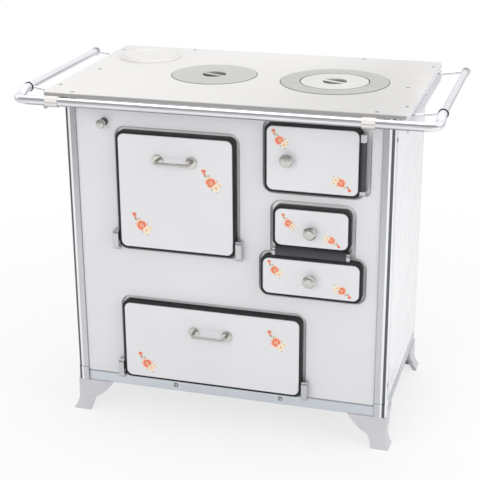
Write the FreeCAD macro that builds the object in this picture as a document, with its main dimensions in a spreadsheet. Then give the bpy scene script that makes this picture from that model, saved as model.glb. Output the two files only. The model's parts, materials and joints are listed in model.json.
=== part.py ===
import FreeCAD
import Part
import Sketcher
import math
import os

# A cast iron range cooker: a solid fuel cooker with an oven, a firebox, an ash
# drawer, a storage compartment, a hob plate with lift-out discs and a towel rail.
# Frame: +Z up, floor at z = 0, x = 0 in the middle, -Y to the front. Millimetres.

SIZES = {
    # whole body
    "total_height": 850,
    "body_width": 800,
    "body_depth": 466,
    "foot_height": 82,
    "base_height": 30,
    "frame_wall": 3,
    "frame_flange": 45,
    "sheet": 3,
    "sheet_return": 22,
    # cast front panel
    "panel_thick": 12,
    "recess_depth": 8,
    "recess_margin": 8,
    "recess_slope": 30,
    "opening_inset": 13,
    "opening_corner": 10,
    "hinge_recess_corner": 12,
    "ash_recess_extra": 2,
    "recess_link_corner": 4,
    "base_screw_side": 136,
    # corner trims
    "trim_width": 30,
    "trim_thick": 2.5,
    "trim_corner": 12,
    "shoe_height": 36,
    "shoe_proud": 1.5,
    "trim_screw_low": 83,
    "trim_screw_high": 65,
    # legs
    "leg_top_wing": 94,
    "leg_waist_wing": 44,
    "leg_waist_height": 33,
    "leg_foot_wing": 32,
    "leg_belly": 3.5,
    "leg_hollow": 2,
    "leg_thick": 11,
    "leg_flare": 12,
    "leg_flare_height": 40,
    "leg_toe_round": 3,
    # hob plate
    "plate_thick": 10,
    "plate_front_reach": 50,
    "plate_rear_reach": 35,
    "plate_side_reach": 32,
    "plate_corner": 14,
    "plate_edge_bevel": 2,
    "seat_depth": 7,
    "seat_ledge": 8,
    "seat_boss": 8,
    "disc_gap": 0.5,
    "disc_proud": 1,
    "boss_radius": 36,
    "boss_extra": 6,
    "disc_chamfer": 1.5,
    "disc_step": 1,
    "ring_collar": 9,
    "lifter_bar_drop": 0.5,
    "lifter_bar_bite": 0.2,
    "lifter_radius": 29.5,
    "lifter_depth": 8,
    "lifter_bar": 9,
    "lifter_turn": 20,
    "left_disc_radius": 106.5,
    "left_disc_offset": 92,
    "ring_radius": 132,
    "ring_side": 221,
    "inner_disc_radius": 83.5,
    "hob_line": 221,
    # plate screws
    "screw_head_radius": 5,
    "screw_head_height": 3,
    "screw_shank_radius": 2.5,
    "screw_length": 13,
    "screw_gap": 0.1,
    "screw_side_inset": 15,
    "screw_middle_inset": 42,
    "screw_front_row": 26,
    "screw_middle_row": 206,
    "screw_rear_row": 60,
    "screw_corner_side": 72,
    "screw_corner_inset": 15,
    "screw_back_side": 202,
    "screw_back_inset": 13,
    "cap_head_radius": 4.5,
    "cap_head_height": 2,
    # flue
    "flue_side": 85,
    "flue_back": 92,
    "flue_hole_radius": 62,
    "flue_rim_width": 18,
    "flue_rim_height": 6.5,
    "flue_rim_bevel": 3,
    "flue_cover_radius": 71.5,
    "flue_cover_thick": 5,
    "cover_rim_width": 12,
    "cover_rim_slope": 3,
    "spigot_radius": 60,
    "spigot_wall": 3,
    "spigot_length": 50,
    "spigot_flange_width": 15,
    "spigot_drop": 84,
    "duct_half_width": 58,
    "duct_front": 163,
    "duct_height": 150,
    "shelf_bite": 4,
    # towel rail
    "rail_reach": 60,
    "rail_drop": 20,
    "rail_radius": 10.5,
    "rail_wall": 1.5,
    "rail_bend": 30,
    "side_rail_offset": 98,
    "side_rail_drop": 9,
    "side_rail_radius": 8.5,
    "side_rail_front": 20,
    "side_rail_rear": 449,
    "collar_radius": 12,
    "collar_length": 9,
    "rail_end_bevel": 2.5,
    "elbow_rise_angle": 35,
    "clamp_radius": 13,
    "clamp_width": 30,
    "clamp_arm": 24,
    "clamp_left_out": 1,
    "clamp_arm_inset": 4,
    "clamp_right_gap": 7,
    "standoff_radius": 3.5,
    "standoff_rise": 15,
    # columns of doors
    "column_offset": 187.5,
    "left_margin": 134.5,
    "column_gap": 71,
    "store_right_margin": 207.6,
    "fire_top_gap": 37,
    "fire_width": 226,
    "fire_height": 164,
    "ash_door_gap": 33,
    "ash_door_width": 185,
    "ash_door_height": 101,
    "drawer_width": 244,
    "drawer_height": 100.5,
    "oven_top_gap": 82,
    "oven_store_gap": 140,
    "store_drawer_gap": 56.5,
    "store_lift": 2.5,
    # doors
    "door_proud": 14,
    "door_thick": 18,
    "door_corner": 17,
    "door_rim": 6,
    "door_hollow_inset": 20,
    "door_hollow_depth": 7,
    "baffle_gap": 9,
    "face_thick": 3,
    "face_edge_bevel": 1,
    "seal_width": 8,
    "seal_gap": 0.3,
    "seal_inset": 4.5,
    "drop_axis_height": 14,
    "drop_bevel": 12,
    "drop_axis_depth": 10,
    "hinge_pin_radius": 3.5,
    "hinge_pin_reach": 16,
    "barrel_pin_reach": 24,
    "pin_end_gap": 1,
    "hinge_gap": 0.05,
    "side_gap": 1.5,
    "lug_width": 14,
    "lug_height": 60,
    "lug_proud": 20,
    "barrel_drop": 12,
    "barrel_radius": 11,
    "barrel_inset": 8,
    "barrel_web_bite": 4,
    "ash_axis_depth": 12,
    "ash_lug_width": 8,
    "fire_barrel_radius": 8,
    "fire_axis_out": 3.5,
    "fire_barrel_inset": 19,
    "fire_barrel_drop": 12,
    "fire_barrel_gap": 1,
    "fire_lug_height": 8,
    "fire_top_lug_height": 18,
    "fire_recess_side": 21,
    "lug_gap": 0.6,
    # knobs and handles
    "knob_radius": 15.5,
    "knob_length": 25,
    "fire_knob_side": 55.5,
    "ash_knob_drop": 55.5,
    "damper_knob_radius": 11,
    "damper_knob_length": 20,
    "handle_spacing": 84,
    "handle_rod_radius": 4,
    "handle_reach": 27,
    "handle_bend": 11,
    "rosette_radius": 14,
    "rosette_thick": 4,
    "rosette_bevel": 1.2,
    "oven_handle_drop": 65,
    "store_handle_drop": 66,
    # inside
    "oven_rear_gap": 36,
    "oven_wall": 3,
    "rack_height": 126,
    "rack_rib_width": 10,
    "rack_rib_thick": 4,
    "rack_rib_front": 10,
    "rack_front_gap": 16,
    "rack_rear_gap": 12,
    "rack_rod_radius": 3,
    "rack_wire_radius": 2,
    "rack_gap": 4,
    "store_rear_gap": 36,
    "firebox_half_width": 130,
    "firebox_rear_gap": 23,
    "firebox_wall": 4,
    "firebox_floor_lift": 4,
    "grate_drop": 19,
    "grate_thick": 12,
    "grate_slot": 11,
    "grate_pitch": 22,
    "grate_gap": 0.5,
    "grate_front_gap": 2,
    "grate_border": 17,
    "ledge_width": 37,
    "brick_thick": 25,
    "brick_height": 172,
    "pan_half_width": 100,
    "pan_height": 58,
    "pan_rear_gap": 40,
    "pan_wall": 2,
    "pan_side_gap": 5,
    "pan_top_gap": 6,
    "runner_height": 3,
    "runner_inset": 12,
    "runner_half_width": 4,
    "slide_gap": 0.3,
    # damper
    "damper_side": 102,
    "damper_drop": 66,
    "damper_rod_radius": 4,
    "damper_blade_half_width": 50,
    "damper_blade_length": 120,
    "damper_blade_thick": 3,
    "damper_blade_gap": 8,
    "damper_blade_side_gap": 2,
    "damper_knob_out": 12,
    "damper_bar_lap": 20,
    "guide_flange_thick": 3,
    "guide_radius": 8,
    "guide_flange_radius": 9.5,
}

doc = FreeCAD.newDocument("RangeCooker")
sheet = doc.addObject("Spreadsheet::Sheet", "Sizes")
for row, (alias, value) in enumerate(SIZES.items(), start=1):
    sheet.set(f"A{row}", alias)
    sheet.set(f"B{row}", str(value))
    sheet.setAlias(f"B{row}", alias)
doc.recompute()


class Size:
    """A length that knows both its number and its formula in the sheet."""

    def __init__(self, number, formula):
        self.number = number
        self.formula = formula

    def __add__(self, other):
        other = as_size(other)
        return Size(self.number + other.number, f"({self.formula} + {other.formula})")

    def __sub__(self, other):
        other = as_size(other)
        return Size(self.number - other.number, f"({self.formula} - {other.formula})")

    def __mul__(self, factor):
        return Size(self.number * factor, f"({self.formula} * {factor})")

    def __truediv__(self, divisor):
        return Size(self.number / divisor, f"({self.formula} / {divisor})")

    def __neg__(self):
        return self * -1

    def __radd__(self, other):
        return as_size(other) + self

    def __rsub__(self, other):
        return as_size(other) - self

    __rmul__ = __mul__


def as_size(value):
    if isinstance(value, Size):
        return value
    return Size(float(value), f"({float(value)})")


class Named:
    """The sheet's driving sizes, each by its own name."""

    def __getattr__(self, alias):
        return Size(float(SIZES[alias]), f"Sizes.{alias}")


S = Named()
parts = []

# ---------------------------------------------------------------- shared places

half_body = S.body_width / 2
half_panel = half_body - S.trim_thick
half_plate = half_body + S.plate_side_reach
front = -(S.body_depth + S.spigot_length - S.rail_reach - S.clamp_radius) / 2
panel_back = front + S.panel_thick
recess_floor = front + S.recess_depth
back = front + S.body_depth
base_top = S.foot_height + S.base_height
plate_top = S.total_height
plate_bottom = S.total_height - S.plate_thick

door_back = front + S.door_thick - S.door_proud
door_front = front - S.door_proud
face_front = door_front - S.face_thick

column = half_body - S.column_offset
flue_x = S.flue_side - half_body
flue_y = back - S.flue_back
spigot_z = plate_bottom - S.spigot_drop
hob_y = front + S.hob_line


class Door:
    """The outline of a door's black body, in x and z."""

    def __init__(self, left, right, bottom, top):
        self.left = left
        self.right = right
        self.bottom = bottom
        self.top = top
        self.middle = (left + right) / 2

    def outline(self, grow, corner):
        return rounded(self.left - grow, self.right + grow,
                       self.bottom - grow, self.top + grow, corner)


fire_top = plate_bottom - S.fire_top_gap
fire = Door(column - S.fire_width / 2, column + S.fire_width / 2,
            fire_top - S.fire_height, fire_top)
ash_top = fire.bottom - S.ash_door_gap
ash = Door(column - S.ash_door_width / 2, column + S.ash_door_width / 2,
           ash_top - S.ash_door_height, ash_top)
drawer_top = ash.bottom - S.barrel_drop * 2 - S.lug_gap
drawer = Door(column - S.drawer_width / 2, column + S.drawer_width / 2,
              drawer_top - S.drawer_height, drawer_top)
store = Door(S.left_margin - half_body, half_body - S.store_right_margin,
             base_top + S.store_lift, drawer.bottom - S.store_drawer_gap)
oven = Door(S.left_margin - half_body, fire.left - S.column_gap,
            store.top + S.oven_store_gap, plate_bottom - S.oven_top_gap)

# ---------------------------------------------------------------- small helpers


def bind(thing, prop, size):
    thing.setExpression(prop, as_size(size).formula)


def place(thing, x=0, y=0, z=0):
    for axis, size in zip("xyz", (x, y, z)):
        bind(thing, f"Placement.Base.{axis}", size)


def keep(thing, name):
    thing.Label = name
    parts.append(thing)
    return thing


def rectangle(x0, x1, y0, y1):
    return [(x0, y0), (x1, y0), (x1, y1), (x0, y1)]


def rounded(x0, x1, y0, y1, r):
    """A rectangle with round corners; a third and fourth number set the arc's middle."""
    x0, x1, y0, y1, r = (as_size(v) for v in (x0, x1, y0, y1, r))
    m = r * (1 - math.sqrt(0.5))
    return [(x0 + r, y0, x0 + m, y0 + m), (x1 - r, y0),
            (x1, y0 + r, x1 - m, y0 + m), (x1, y1 - r),
            (x1 - r, y1, x1 - m, y1 - m), (x0 + r, y1),
            (x0, y1 - r, x0 + m, y1 - m), (x0, y0 + r)]


def circle(x, y, radius):
    return ("circle", x, y, radius)


def fix_point(sketch, geometry, position, x, y):
    for kind, size in (("DistanceX", as_size(x)), ("DistanceY", as_size(y))):
        rule = Sketcher.Constraint(kind, -1, 1, geometry, position, size.number)
        index = sketch.addConstraint(rule)
        sketch.setExpression(f"Constraints[{index}]", size.formula)


def vector(x, y):
    return FreeCAD.Vector(as_size(x).number, as_size(y).number, 0)


def draw_circle(sketch, x, y, radius):
    radius = as_size(radius)
    ring = Part.Circle(vector(x, y), FreeCAD.Vector(0, 0, 1), radius.number)
    index = sketch.addGeometry(ring)
    fix_point(sketch, index, 3, x, y)
    rule = sketch.addConstraint(Sketcher.Constraint("Radius", index, radius.number))
    sketch.setExpression(f"Constraints[{rule}]", radius.formula)


def draw_edge(sketch, start, end):
    """One line, or an arc where the end also names its middle."""
    if len(end) == 2:
        return sketch.addGeometry(Part.LineSegment(vector(*start[:2]), vector(*end))), 1
    middle = vector(*end[2:])
    index = sketch.addGeometry(Part.Arc(vector(*start[:2]), middle, vector(*end[:2])))
    point = sketch.addGeometry(Part.Point(middle), True)
    fix_point(sketch, point, 1, *end[2:])
    sketch.addConstraint(Sketcher.Constraint("PointOnObject", point, 1, index))
    forward = sketch.getPoint(index, 1).distanceToPoint(vector(*start[:2])) < 1e-4
    return index, 1 if forward else 2


def draw(sketch, outline):
    if outline[0] == "circle":
        draw_circle(sketch, *outline[1:])
        return
    edges = []
    for start, end in zip(outline, outline[1:] + outline[:1]):
        edges.append(draw_edge(sketch, start, end))
    for (index, first), corner in zip(edges, outline):
        fix_point(sketch, index, first, *corner[:2])
    for (index, first), (following, second) in zip(edges, edges[1:] + edges[:1]):
        sketch.addConstraint(
            Sketcher.Constraint("Coincident", index, 3 - first, following, second))


def new_body(name):
    return doc.addObject("PartDesign::Body", name)


def sketch_on(body, plane, outlines, offset=0):
    """A sketch on one of the body's planes: XY faces +Z, XZ faces -Y, YZ faces +X."""
    sketch = body.newObject("Sketcher::SketchObject", body.Name + "_sketch")
    role = plane + "_Plane"
    support = [item for item in body.Origin.OriginFeatures if item.Role == role][0]
    sketch.AttachmentSupport = [(support, "")]
    sketch.MapMode = "FlatFace"
    along = -as_size(offset) if plane == "XZ" else as_size(offset)
    bind(sketch, "AttachmentOffset.Base.z", along)
    for outline in outlines:
        draw(sketch, outline)
    return sketch


def add(body, plane, outlines, low, high):
    """Material between low and high along the plane's axis."""
    start = high if plane == "XZ" else low
    pad = body.newObject("PartDesign::Pad", body.Name + "_pad")
    pad.Profile = sketch_on(body, plane, outlines, start)
    bind(pad, "Length", as_size(high) - low)
    return pad


def carve(body, plane, outlines, low, high, slope=None):
    """A pocket between low and high along the plane's axis."""
    start = low if plane == "XZ" else high
    pocket = body.newObject("PartDesign::Pocket", body.Name + "_pocket")
    pocket.Profile = sketch_on(body, plane, outlines, start)
    bind(pocket, "Length", as_size(high) - low)
    if slope is not None:
        bind(pocket, "TaperAngle", slope)
    return pocket


def turn(body, plane, outline):
    """A solid of revolution about the sketch's upright axis."""
    sketch = sketch_on(body, plane, [outline])
    solid = body.newObject("PartDesign::Revolution", body.Name + "_turn")
    solid.Profile = sketch
    solid.ReferenceAxis = (sketch, ["V_Axis"])
    solid.Angle = 360
    return solid


def round_edges(body, chosen, radius):
    """Round the edges of the body so far that the test picks."""
    doc.recompute()
    base = body.Tip
    names = [f"Edge{i}" for i, edge in enumerate(base.Shape.Edges, 1) if chosen(edge)]
    fillet = body.newObject("PartDesign::Fillet", body.Name + "_fillet")
    fillet.Base = (base, names)
    bind(fillet, "Radius", radius)
    return fillet


def bevel_edges(body, chosen, width):
    """Bevel the edges of the body so far that the test picks."""
    doc.recompute()
    base = body.Tip
    names = [f"Edge{i}" for i, edge in enumerate(base.Shape.Edges, 1) if chosen(edge)]
    chamfer = body.newObject("PartDesign::Chamfer", body.Name + "_chamfer")
    chamfer.Base = (base, names)
    bind(chamfer, "Size", width)
    return chamfer


def lies_at(axis, size):
    """A test for edges that lie in the plane where axis has this size."""
    level = as_size(size).number

    def test(edge):
        box = edge.BoundBox
        low = getattr(box, axis + "Min")
        high = getattr(box, axis + "Max")
        return abs(low - level) < 1e-3 and abs(high - level) < 1e-3
    return test


def block(name, x0, x1, y0, y1, z0, z1):
    box = doc.addObject("Part::Box", name)
    bind(box, "Length", as_size(x1) - x0)
    bind(box, "Width", as_size(y1) - y0)
    bind(box, "Height", as_size(z1) - z0)
    place(box, x0, y0, z0)
    return box


TURN = {"X": (FreeCAD.Vector(0, 1, 0), 90), "Y": (FreeCAD.Vector(1, 0, 0), -90),
        "Z": (FreeCAD.Vector(0, 0, 1), 0)}


def rod(name, axis, x, y, z, radius, length):
    """A round bar that starts at the point and runs along +X, +Y or +Z."""
    bar = doc.addObject("Part::Cylinder", name)
    bar.Placement = FreeCAD.Placement(FreeCAD.Vector(), FreeCAD.Rotation(*TURN[axis]))
    bind(bar, "Radius", radius)
    bind(bar, "Height", length)
    place(bar, x, y, z)
    return bar


def bend(name, middle, radius, thick, rotation, angle):
    """A quarter or less of a ring; unrotated it starts at +X and sweeps towards +Y."""
    ring = doc.addObject("Part::Torus", name)
    ring.Placement = FreeCAD.Placement(FreeCAD.Vector(), rotation)
    bind(ring, "Radius1", radius)
    bind(ring, "Radius2", thick)
    bind(ring, "Angle3", angle)
    place(ring, *middle)
    return ring


def join(name, pieces):
    fuse = doc.addObject("Part::MultiFuse", name)
    fuse.Shapes = pieces
    return fuse


def subtract(name, base, tool):
    cut = doc.addObject("Part::Cut", name)
    cut.Base = base
    cut.Tool = tool
    return cut


def overlap(name, base, tool):
    common = doc.addObject("Part::Common", name)
    common.Base = base
    common.Tool = tool
    return common


def gather(name, pieces):
    """Separate solids that share one node."""
    group = doc.addObject("Part::Compound", name)
    group.Links = pieces
    return group


def mirrored(name, source, normal):
    twin = doc.addObject("Part::Mirroring", name)
    twin.Source = source
    twin.Base = FreeCAD.Vector(0, 0, 0)
    twin.Normal = normal
    return twin

# ---------------------------------------------------------------- base and legs


def make_base_frame():
    body = new_body("base_frame")
    corner = S.trim_corner - S.trim_thick
    add(body, "XY", [rounded(-half_panel, half_panel, front, back, corner)],
        S.foot_height, base_top)
    wall = S.frame_wall
    inner = rectangle(wall - half_panel, half_panel - wall, front + wall, back - wall)
    floor = S.foot_height + S.frame_wall
    carve(body, "XY", [inner], floor, base_top)
    flange = S.frame_flange
    window = rectangle(flange - half_panel, half_panel - flange, front + flange, back - flange)
    carve(body, "XY", [window], S.foot_height, floor)
    keep(body, "base_frame")

    gap = S.frame_wall + S.slide_gap
    plate = block("bottom_plate_sheet", gap - half_panel, half_panel - gap,
                  front + gap, back - gap, floor, floor + S.sheet)
    keep(plate, "bottom_plate")


leg_corner = front - S.trim_thick
flare_drop = S.leg_flare_height - S.leg_toe_round


def flare(inset):
    """The leg's outer line leans out to its toe: the bend's middle and two ends."""
    half = math.atan(S.leg_flare.number / flare_drop.number)
    out = S.leg_flare * ((1 - math.cos(half)) / (1 - math.cos(half * 2)))
    down = flare_drop * (math.sin(half) / math.sin(half * 2))
    edge = half_body - inset
    return ((edge + S.leg_flare, S.leg_toe_round),
            (edge, S.leg_flare_height, edge + out, S.leg_flare_height - down))


def square_with_twin(name, outline):
    """What the outline holds both from the front and, turned, from the side."""
    reach = S.leg_top_wing + S.leg_thick * 2
    front_view = new_body(name)
    add(front_view, "XZ", [outline], leg_corner - reach, leg_corner + reach)
    side_view = mirrored(name + "_side", front_view, FreeCAD.Vector(1, 1, 0))
    bind(side_view, "Base.x", half_body)
    bind(side_view, "Base.y", leg_corner)
    return overlap(name + "_square", front_view, side_view)


def make_front_leg():
    """A cast bracket leg: two wings that narrow to a waist, and a toe that leans out."""
    top, waist, foot = S.leg_top_wing, S.leg_waist_wing, S.leg_foot_wing
    high, low = S.foot_height, S.leg_waist_height
    toe = S.leg_toe_round
    m = toe * (1 - math.sqrt(0.5))
    toe_x = half_body + S.leg_flare
    outside = [
        (half_body - top, high),
        (half_body - waist, low, half_body - (top + waist) / 2 - S.leg_belly,
         (high + low) / 2 - S.leg_belly),
        (half_body - foot, 0, half_body - (waist + foot) / 2 + S.leg_hollow, low / 2),
        (toe_x - toe, 0), (toe_x, toe, toe_x - m, m), flare(as_size(0))[1], (half_body, high),
    ]
    thick = S.leg_thick
    far = half_body - top - thick
    lean_low, lean_high = flare(thick)
    inside = [
        (far, -thick), (lean_low[0], -thick), lean_low, lean_high,
        (half_body - thick, high + thick), (far, high + thick),
    ]
    return subtract("leg_front_right", square_with_twin("leg_outside", outside),
                    square_with_twin("leg_inside", inside))


def make_legs():
    right = keep(make_front_leg(), "leg_front_right")
    left = keep(mirrored("leg_mirror_left", right, FreeCAD.Vector(1, 0, 0)), "leg_front_left")
    for source, side in ((right, "right"), (left, "left")):
        rear = mirrored(f"leg_mirror_rear_{side}", source, FreeCAD.Vector(0, 1, 0))
        place(rear, 0, front + back, 0)
        keep(rear, f"leg_rear_{side}")

# ---------------------------------------------------------------- front and sides


def opening(door):
    return door.outline(-S.opening_inset, S.opening_corner)


pan_floor = drawer.bottom + S.firebox_floor_lift + S.firebox_wall + S.runner_height + S.slide_gap
pan_top = pan_floor + S.pan_height
pan_way = S.pan_half_width + S.pan_side_gap
drawer_opening = rounded(column - pan_way, column + pan_way,
                         drawer.bottom + S.firebox_floor_lift + S.firebox_wall,
                         pan_top + S.pan_top_gap, S.pan_side_gap)
damper_x = S.damper_side - half_body
damper_z = plate_bottom - S.damper_drop


def make_front_panel():
    """The cast front, with a sloped recess round each door and the way in behind it."""
    body = new_body("front_panel")
    add(body, "XZ", [rectangle(-half_panel, half_panel, base_top, plate_bottom)],
        front, panel_back)
    corner = S.trim_corner - S.trim_thick
    side = half_panel.number

    def upright(edge):
        box = edge.BoundBox
        at_side = abs(abs(box.XMin) - side) < 1e-3 and box.XLength < 1e-3
        return at_side and box.YMax < front.number + 1e-3 and box.ZLength > 1
    round_edges(body, upright, corner)
    margin = S.recess_margin
    recess_corner = S.door_corner + margin
    ash_margin = margin + S.ash_recess_extra
    outlines = [
        oven.outline(margin, recess_corner),
        rounded(store.left - margin, store.right + margin, base_top - recess_corner,
                store.top + margin, recess_corner),
        fire.outline(margin, recess_corner),
        rounded(fire.right - recess_corner * 2, fire.right + S.fire_recess_side,
                fire.bottom + margin / 4, fire.top - margin / 4, S.hinge_recess_corner),
        ash.outline(ash_margin, recess_corner),
        drawer.outline(margin, recess_corner),
        rounded(ash.left - ash_margin, ash.right + ash_margin, drawer.top - recess_corner,
                ash.top - recess_corner, S.recess_link_corner),
    ]
    for outline in outlines:
        carve(body, "XZ", [outline], front, recess_floor, -S.recess_slope)
    ways = [opening(oven), opening(store), opening(fire), opening(ash), drawer_opening,
            circle(damper_x, damper_z, S.guide_radius)]
    for way in ways:
        carve(body, "XZ", [way], front, panel_back)
    keep(body, "front_panel")


def make_side_panel(side, name):
    """A sheet side with a folded rear return."""
    face = half_panel * side
    inner = (half_panel - S.sheet) * side
    fold = (half_panel - S.sheet_return) * side
    end = back - S.sheet
    body = new_body(name)
    add(body, "XY", [[(face, panel_back), (face, end), (fold, end), (fold, end - S.sheet),
                      (inner, end - S.sheet), (inner, panel_back)]], base_top, plate_bottom)
    keep(body, name)


def make_rear_panel():
    body = new_body("rear_panel")
    add(body, "XZ", [rectangle(-half_panel, half_panel, base_top, plate_bottom)],
        back - S.sheet, back)
    carve(body, "XZ", [circle(flue_x, spigot_z, S.spigot_radius - S.spigot_wall)],
          back - S.sheet, back)
    keep(body, "rear_panel")


def trim_outline(side, proud):
    """An angle strip with a round outer corner, seen from above."""
    skin = S.trim_thick + proud
    outer = half_panel + skin
    near = front - skin
    radius = S.trim_corner + proud
    inner = S.trim_corner - S.trim_thick
    m, n = radius * (1 - math.sqrt(0.5)), inner * (1 - math.sqrt(0.5))
    flat_end = half_body - S.trim_width
    side_end = front + S.trim_width - S.trim_thick
    points = [
        (flat_end, near), (outer - radius, near),
        (outer, near + radius, outer - m, near + m), (outer, side_end),
        (half_panel, side_end), (half_panel, front + inner),
        (half_panel - inner, front, half_panel - n, front + n), (flat_end, front),
    ]
    return [tuple(v * side if i % 2 == 0 else v for i, v in enumerate(p)) for p in points]


def make_trim(side, name):
    body = new_body(name)
    add(body, "XY", [trim_outline(side, as_size(0))], S.foot_height, plate_bottom)
    add(body, "XY", [trim_outline(side, S.shoe_proud)],
        S.foot_height, S.foot_height + S.shoe_height)
    keep(body, name)


def make_body_screws():
    """Cap screws: two in the base strip and two on the side of each corner trim."""
    height = S.cap_head_height
    middle = S.foot_height + S.base_height / 2
    screws = []
    for i, x in enumerate((-S.base_screw_side, S.base_screw_side)):
        screws.append(rod(f"base_screw_{i}", "Y", x, front - height, middle,
                          S.cap_head_radius, height))
    rows = (S.foot_height + S.trim_screw_low, plate_bottom - S.trim_screw_high)
    for side in (-1, 1):
        start = half_body if side > 0 else -half_body - height
        for i, z in enumerate(rows):
            screws.append(rod(f"trim_screw_{side}_{i}", "X", start,
                              front + S.trim_width / 2, z, S.cap_head_radius, height))
    keep(gather("body_screws_group", screws), "body_screws")

# ---------------------------------------------------------------- hob plate


plate_front = front - S.plate_front_reach
plate_back = back + S.plate_rear_reach
screw_places = []
for sign in (-1, 1):
    screw_places += [
        ((half_plate - S.screw_side_inset) * sign, front + S.screw_front_row),
        ((half_plate - S.screw_side_inset) * sign, plate_back - S.screw_rear_row),
        ((half_plate - S.screw_middle_inset) * sign, front + S.screw_middle_row),
        ((half_plate - S.screw_corner_side) * sign, plate_front + S.screw_corner_inset),
        ((half_plate - S.screw_back_side) * sign, plate_back - S.screw_back_inset),
    ]
ring_x = half_plate - S.ring_side
hob_seats = ((-S.left_disc_offset, S.left_disc_radius), (ring_x, S.ring_radius))


def countersunk(name, x, y, gap):
    """A flush screw, or with a gap the hole that takes it."""
    head = doc.addObject("Part::Cone", name + "_head")
    bind(head, "Radius1", S.screw_shank_radius + gap)
    bind(head, "Radius2", S.screw_head_radius + gap)
    bind(head, "Height", S.screw_head_height)
    place(head, x, y, plate_top - S.screw_head_height)
    shank = rod(name + "_shank", "Z", x, y, plate_top - S.screw_length,
                S.screw_shank_radius + gap, S.screw_length - S.screw_head_height)
    return join(name, [head, shank])


def make_top_plate():
    body = new_body("top_plate_body")
    add(body, "XY", [rounded(-half_plate, half_plate, plate_front, plate_back, S.plate_corner)],
        plate_bottom, plate_top)
    bevel_edges(body, lies_at("Z", plate_top), S.plate_edge_bevel)
    for x, radius in hob_seats:
        rim = radius + S.disc_gap
        add(body, "XY", [circle(x, hob_y, rim + S.seat_boss)],
            plate_bottom - S.seat_boss, plate_bottom)
        carve(body, "XY", [circle(x, hob_y, rim)], plate_top - S.seat_depth, plate_top)
        carve(body, "XY", [circle(x, hob_y, rim - S.seat_ledge)],
              plate_bottom - S.seat_boss, plate_top)
    carve(body, "XY", [circle(flue_x, flue_y, S.flue_hole_radius)], plate_bottom, plate_top)
    holes = [countersunk(f"plate_hole_{i}", x, y, S.screw_gap)
             for i, (x, y) in enumerate(screw_places)]
    plate = subtract("top_plate", body, join("plate_holes", holes))
    keep(plate, "top_plate")
    screws = [countersunk(f"plate_screw_{i}", x, y, 0) for i, (x, y) in enumerate(screw_places)]
    keep(gather("plate_screws_group", screws), "plate_screws")


def add_lifter(body):
    """The round lifting recess in a disc, with a bar across it, a little askew, to hook under."""
    askew = FreeCAD.Rotation(FreeCAD.Vector(0, 0, -1), S.lifter_turn.number)
    body.Placement = FreeCAD.Placement(FreeCAD.Vector(), askew)
    bind(body, "Placement.Rotation.Angle", S.lifter_turn)
    top = S.disc_proud
    carve(body, "XY", [circle(0, 0, S.lifter_radius)], top - S.lifter_depth, top)
    half = S.lifter_bar / 2
    end = S.lifter_radius + S.lifter_bar_bite
    add(body, "XY", [rectangle(-end, end, -half, half)],
        top - S.lifter_depth / 2, top - S.lifter_bar_drop)


def disc_profile(radius, thick):
    top = S.disc_proud
    edge = S.disc_chamfer
    return [(0, -thick - S.boss_extra), (S.boss_radius, -thick - S.boss_extra),
            (S.boss_radius, -thick), (radius, -thick), (radius, top - edge),
            (radius - edge, top), (0, top)]


def make_hob():
    left = new_body("hob_left_disc")
    turn(left, "XZ", disc_profile(S.left_disc_radius, S.seat_depth))
    add_lifter(left)
    place(left, -S.left_disc_offset, hob_y, plate_top)
    keep(left, "hob_left_disc")

    ring = new_body("hob_right_ring")
    top, thick = S.disc_proud, S.seat_depth
    inner = S.inner_disc_radius + S.disc_gap
    step = thick - S.disc_step
    edge = S.disc_chamfer
    collar = inner + S.ring_collar
    turn(ring, "XZ", [
        (inner - S.seat_ledge, -thick - S.boss_extra), (collar, -thick - S.boss_extra),
        (collar, -thick), (S.ring_radius, -thick), (S.ring_radius, top - edge),
        (S.ring_radius - edge, top), (inner, top), (inner, -step),
        (inner - S.seat_ledge, -step)])
    place(ring, ring_x, hob_y, plate_top)
    keep(ring, "hob_right_ring")

    disc = new_body("hob_right_disc")
    turn(disc, "XZ", disc_profile(S.inner_disc_radius, step))
    add_lifter(disc)
    place(disc, ring_x, hob_y, plate_top)
    keep(disc, "hob_right_disc")

# ---------------------------------------------------------------- flue


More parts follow.
